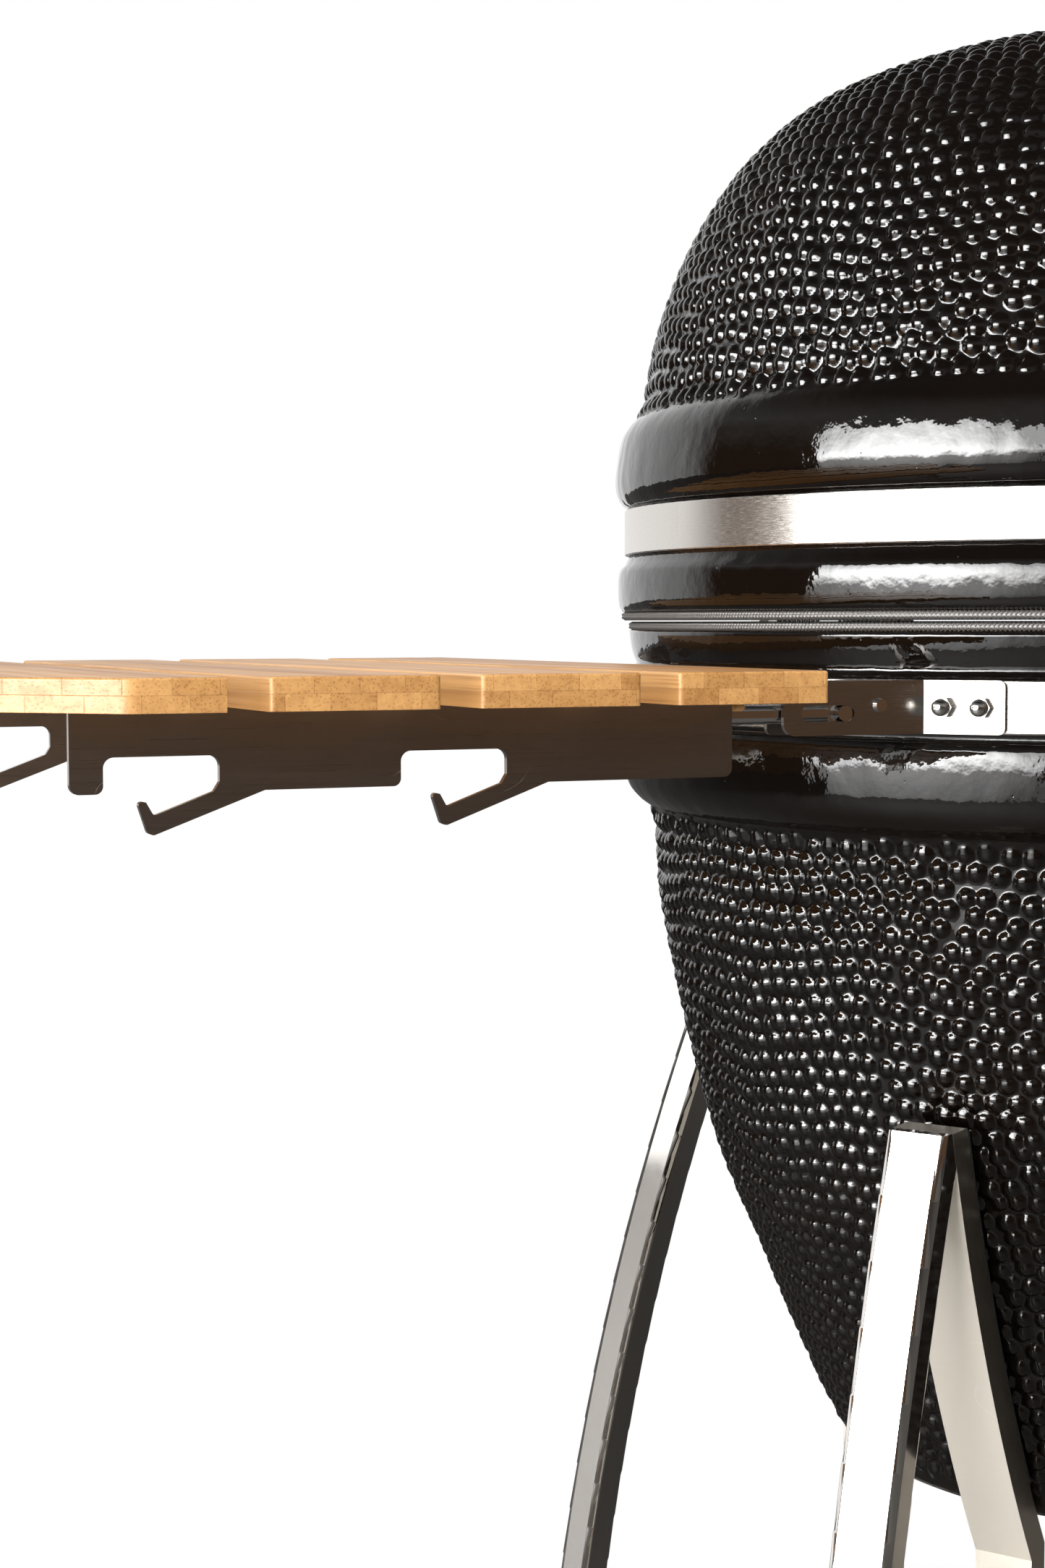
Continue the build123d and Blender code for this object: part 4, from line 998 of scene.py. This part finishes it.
class KAMADO_OT_inside(Operator):
    """Fire box, fire ring and grates"""

    bl_idname = "kamado.inside"
    bl_label = "Inside"

    def execute(self, context):
        paint(["fire_box", "fire_ring"], clay_material("fire_clay", (0.46, 0.36, 0.26), 0.9), 1.0 * MM)
        iron = rough_material("grate_iron", (0.030, 0.028, 0.026), 300.0, 0.4 * MM, 0.5, 0.75)
        paint(["charcoal_grate"], iron, 0.8 * MM)
        paint(["cooking_grate"], polished_material("grate_steel", (0.60, 0.58, 0.55), 0.14))
        return {"FINISHED"}


# ------------------------------------------------------------------ studio
def soft_edge(light):
    """Dims a panel towards its edges and over one half of its height."""
    light.use_nodes = True
    tree = light.node_tree
    spot = add_node(tree, "NewGeometry").outputs["Parametric"]
    glow_middle = (0.42, 0.5, 0.0)
    off = add_node(tree, "VectorMath", {0: spot, 1: glow_middle}, operation="DISTANCE").outputs["Value"]
    height = add_node(tree, "SeparateXYZ", {0: spot}).outputs[1]
    round_glow = ramp(tree, off, 1.35, 0.28, 0.08, 0.62)
    half_glow = ramp(tree, height, 0.28, 1.95, 0.45, 0.60)
    glow = times(tree, round_glow, half_glow)
    feed(tree, tree.nodes["Emission"], {"Strength": glow})


class KAMADO_OT_stage(Operator):
    """White floor, clear from below and painted dark grey where glossy surfaces reflect it, with the room,
    light panels and camera
    """

    bl_idname = "kamado.stage"
    bl_label = "Stage"

    def execute(self, context):
        scene = context.scene
        stage = scene.kamado_stage
        scene.view_settings.view_transform = "Standard"

        def floor(bm):
            bmesh.ops.create_circle(bm, cap_ends=True, segments=96, radius=9.0)

        mesh = from_bmesh("floor", floor)
        piece = bpy.data.objects.new("floor", mesh)
        context.collection.objects.link(piece)
        material, tree, shader = new_material("floor")
        where = place(tree)
        grain = noise(tree, where, 60.0, 3.0)
        distance = add_node(tree, "VectorMath", {0: where}, operation="LENGTH").outputs["Value"]
        away = ramp(tree, distance, 0.0, 1.0, 0.45, 0.95)
        sight = add_node(tree, "LightPath").outputs["Is Camera Ray"]
        white = add_node(tree, "Emission", {"Color": (1, 1, 1, 1), "Strength": 1.0})
        # Glossy rays see the floor painted dark grey: a painted dark reflection of the floor in the glaze
        # and steel, while camera and diffuse rays see it pale.
        mirrored = add_node(tree, "LightPath").outputs["Is Glossy Ray"]
        tone = blend_colour(tree, mirrored, tuple(stage.floor), (0.10, 0.095, 0.09))
        feed(tree, shader, {"Base Color": tone, "Roughness": ramp(tree, grain, 0.5, 0.6)})
        fade = times(tree, away, sight)
        mix = add_node(tree, "MixShader", {0: fade, 1: shader.outputs[0], 2: white.outputs[0]})
        back = add_node(tree, "NewGeometry").outputs["Backfacing"]
        clear = add_node(tree, "BsdfTransparent").outputs[0]
        under = add_node(tree, "MixShader", {0: back, 1: mix.outputs[0], 2: clear})
        feed(tree, tree.nodes["Material Output"], {0: under.outputs[0]})
        mesh.materials.append(material)

        world = bpy.data.worlds.new("studio")
        scene.world = world
        world.use_nodes = True
        tree = world.node_tree
        direction = add_node(tree, "TexCoord").outputs["Generated"]
        axes = add_node(tree, "SeparateXYZ", {0: direction})
        behind = ramp(tree, axes.outputs[1], 0.0, 1.0, 0.70, 0.86)
        slope = add_node(tree, "ValToRGB", {"Fac": ramp(tree, axes.outputs[2], 0.0, 1.0, -1.0, 1.0)})
        # Stops from straight down (0) to straight up (1), and the room's colours there.
        bands = (
            (0.45, (0.10, 0.055, 0.03)), (0.60, (0.085, 0.05, 0.03)),
            (0.70, (0.30, 0.30, 0.30)), (0.92, (0.03, 0.03, 0.03)),
        )
        for k, (place_at, tone) in enumerate(bands):
            stop = slope.color_ramp.elements[k] if k < 2 else slope.color_ramp.elements.new(place_at)
            stop.position = place_at
            stop.color = (*tone, 1.0)
        room = blend_colour(tree, behind, slope.outputs[0], (1.1, 1.1, 1.1))
        sight = add_node(tree, "LightPath").outputs["Is Camera Ray"]
        colour = blend_colour(tree, sight, room, (1.0, 1.0, 1.0))
        level = ramp(tree, sight, stage.fill, 1.0)
        feed(tree, tree.nodes["Background"], {"Color": colour, "Strength": level})

        # Name, place, aim, width, height, power and the rays that see the lamp.
        lights = (
            ("key", (-2.3, -1.9, 2.3), (0, 0, 1.0), 0.5, 0.5, 64.0, "diffuse"),
            ("left", (-2.62, -0.60, 0.95), (0, 0, 0.95), 2.6, 2.0, stage.panel * 0.8, "diffuse"),
            ("left_shine", (-2.63, -0.60, 0.95), (0, 0, 0.95), 2.6, 2.0, stage.panel * 2.6, "glossy"),
            ("top", (-0.3, -0.9, 3.2), (0, 0, 0.9), 1.0, 1.0, 48.0, "diffuse"),
        )
        for name, spot, aim, wide, tall, power, rays in lights:
            light = bpy.data.lights.new(name, "AREA")
            light.shape = "RECTANGLE"
            light.size, light.size_y = wide, tall
            light.energy = power
            holder = bpy.data.objects.new(name, light)
            holder.location = spot
            holder.rotation_euler = (Vector(aim) - Vector(spot)).to_track_quat("-Z", "Y").to_euler()
            if rays == "glossy":
                soft_edge(light)
            holder.visible_glossy = rays != "diffuse"
            holder.visible_diffuse = rays != "glossy"
            context.collection.objects.link(holder)

        camera = bpy.data.cameras.new("camera")
        camera.lens = 58.12
        holder = bpy.data.objects.new("camera", camera)
        holder.location = (-0.8710, -1.1731, 0.900)
        holder.rotation_euler = (math.radians(86.32), math.radians(0.10), math.radians(-23.04))
        context.collection.objects.link(holder)
        scene.camera = holder
        return {"FINISHED"}


OPERATORS = (
    KAMADO_OT_lid_shell, KAMADO_OT_base_shell, KAMADO_OT_gaskets, KAMADO_OT_bands, KAMADO_OT_stand,
    KAMADO_OT_shelves, KAMADO_OT_handle, KAMADO_OT_springs, KAMADO_OT_thermometer, KAMADO_OT_chimney,
    KAMADO_OT_draft, KAMADO_OT_inside, KAMADO_OT_stage,
)
SETTINGS = {
    "kamado_glaze": GlazeSettings, "kamado_metal": MetalSettings, "kamado_wood": WoodSettings,
    "kamado_stage": StageSettings,
}


class KAMADO_PT_panel(Panel):
    """Sidebar list of the pieces"""

    bl_idname = "KAMADO_PT_panel"
    bl_label = "Kamado grill"
    bl_space_type = "VIEW_3D"
    bl_region_type = "UI"
    bl_category = "Kamado"

    def draw(self, context):
        for operator in OPERATORS:
            self.layout.operator(operator.bl_idname)
        for name, group in SETTINGS.items():
            box = self.layout.box()
            for setting in group.__annotations__:
                box.prop(getattr(context.scene, name), setting)


def register():
    """Registers the settings, operators and panel."""
    for name, group in SETTINGS.items():
        bpy.utils.register_class(group)
        setattr(bpy.types.Scene, name, PointerProperty(type=group))
    for operator in OPERATORS:
        bpy.utils.register_class(operator)
    bpy.utils.register_class(KAMADO_PT_panel)


def unregister():
    """Removes them again."""
    bpy.utils.unregister_class(KAMADO_PT_panel)
    for operator in reversed(OPERATORS):
        bpy.utils.unregister_class(operator)
    for name, group in SETTINGS.items():
        delattr(bpy.types.Scene, name)
        bpy.utils.unregister_class(group)


def main():
    """Builds every piece."""
    register()
    for operator in OPERATORS:
        call = getattr(bpy.ops.kamado, operator.bl_idname.split(".")[1])
        if call() != {"FINISHED"}:
            raise RuntimeError(operator.bl_label)


if __name__ == "__main__":
    main()
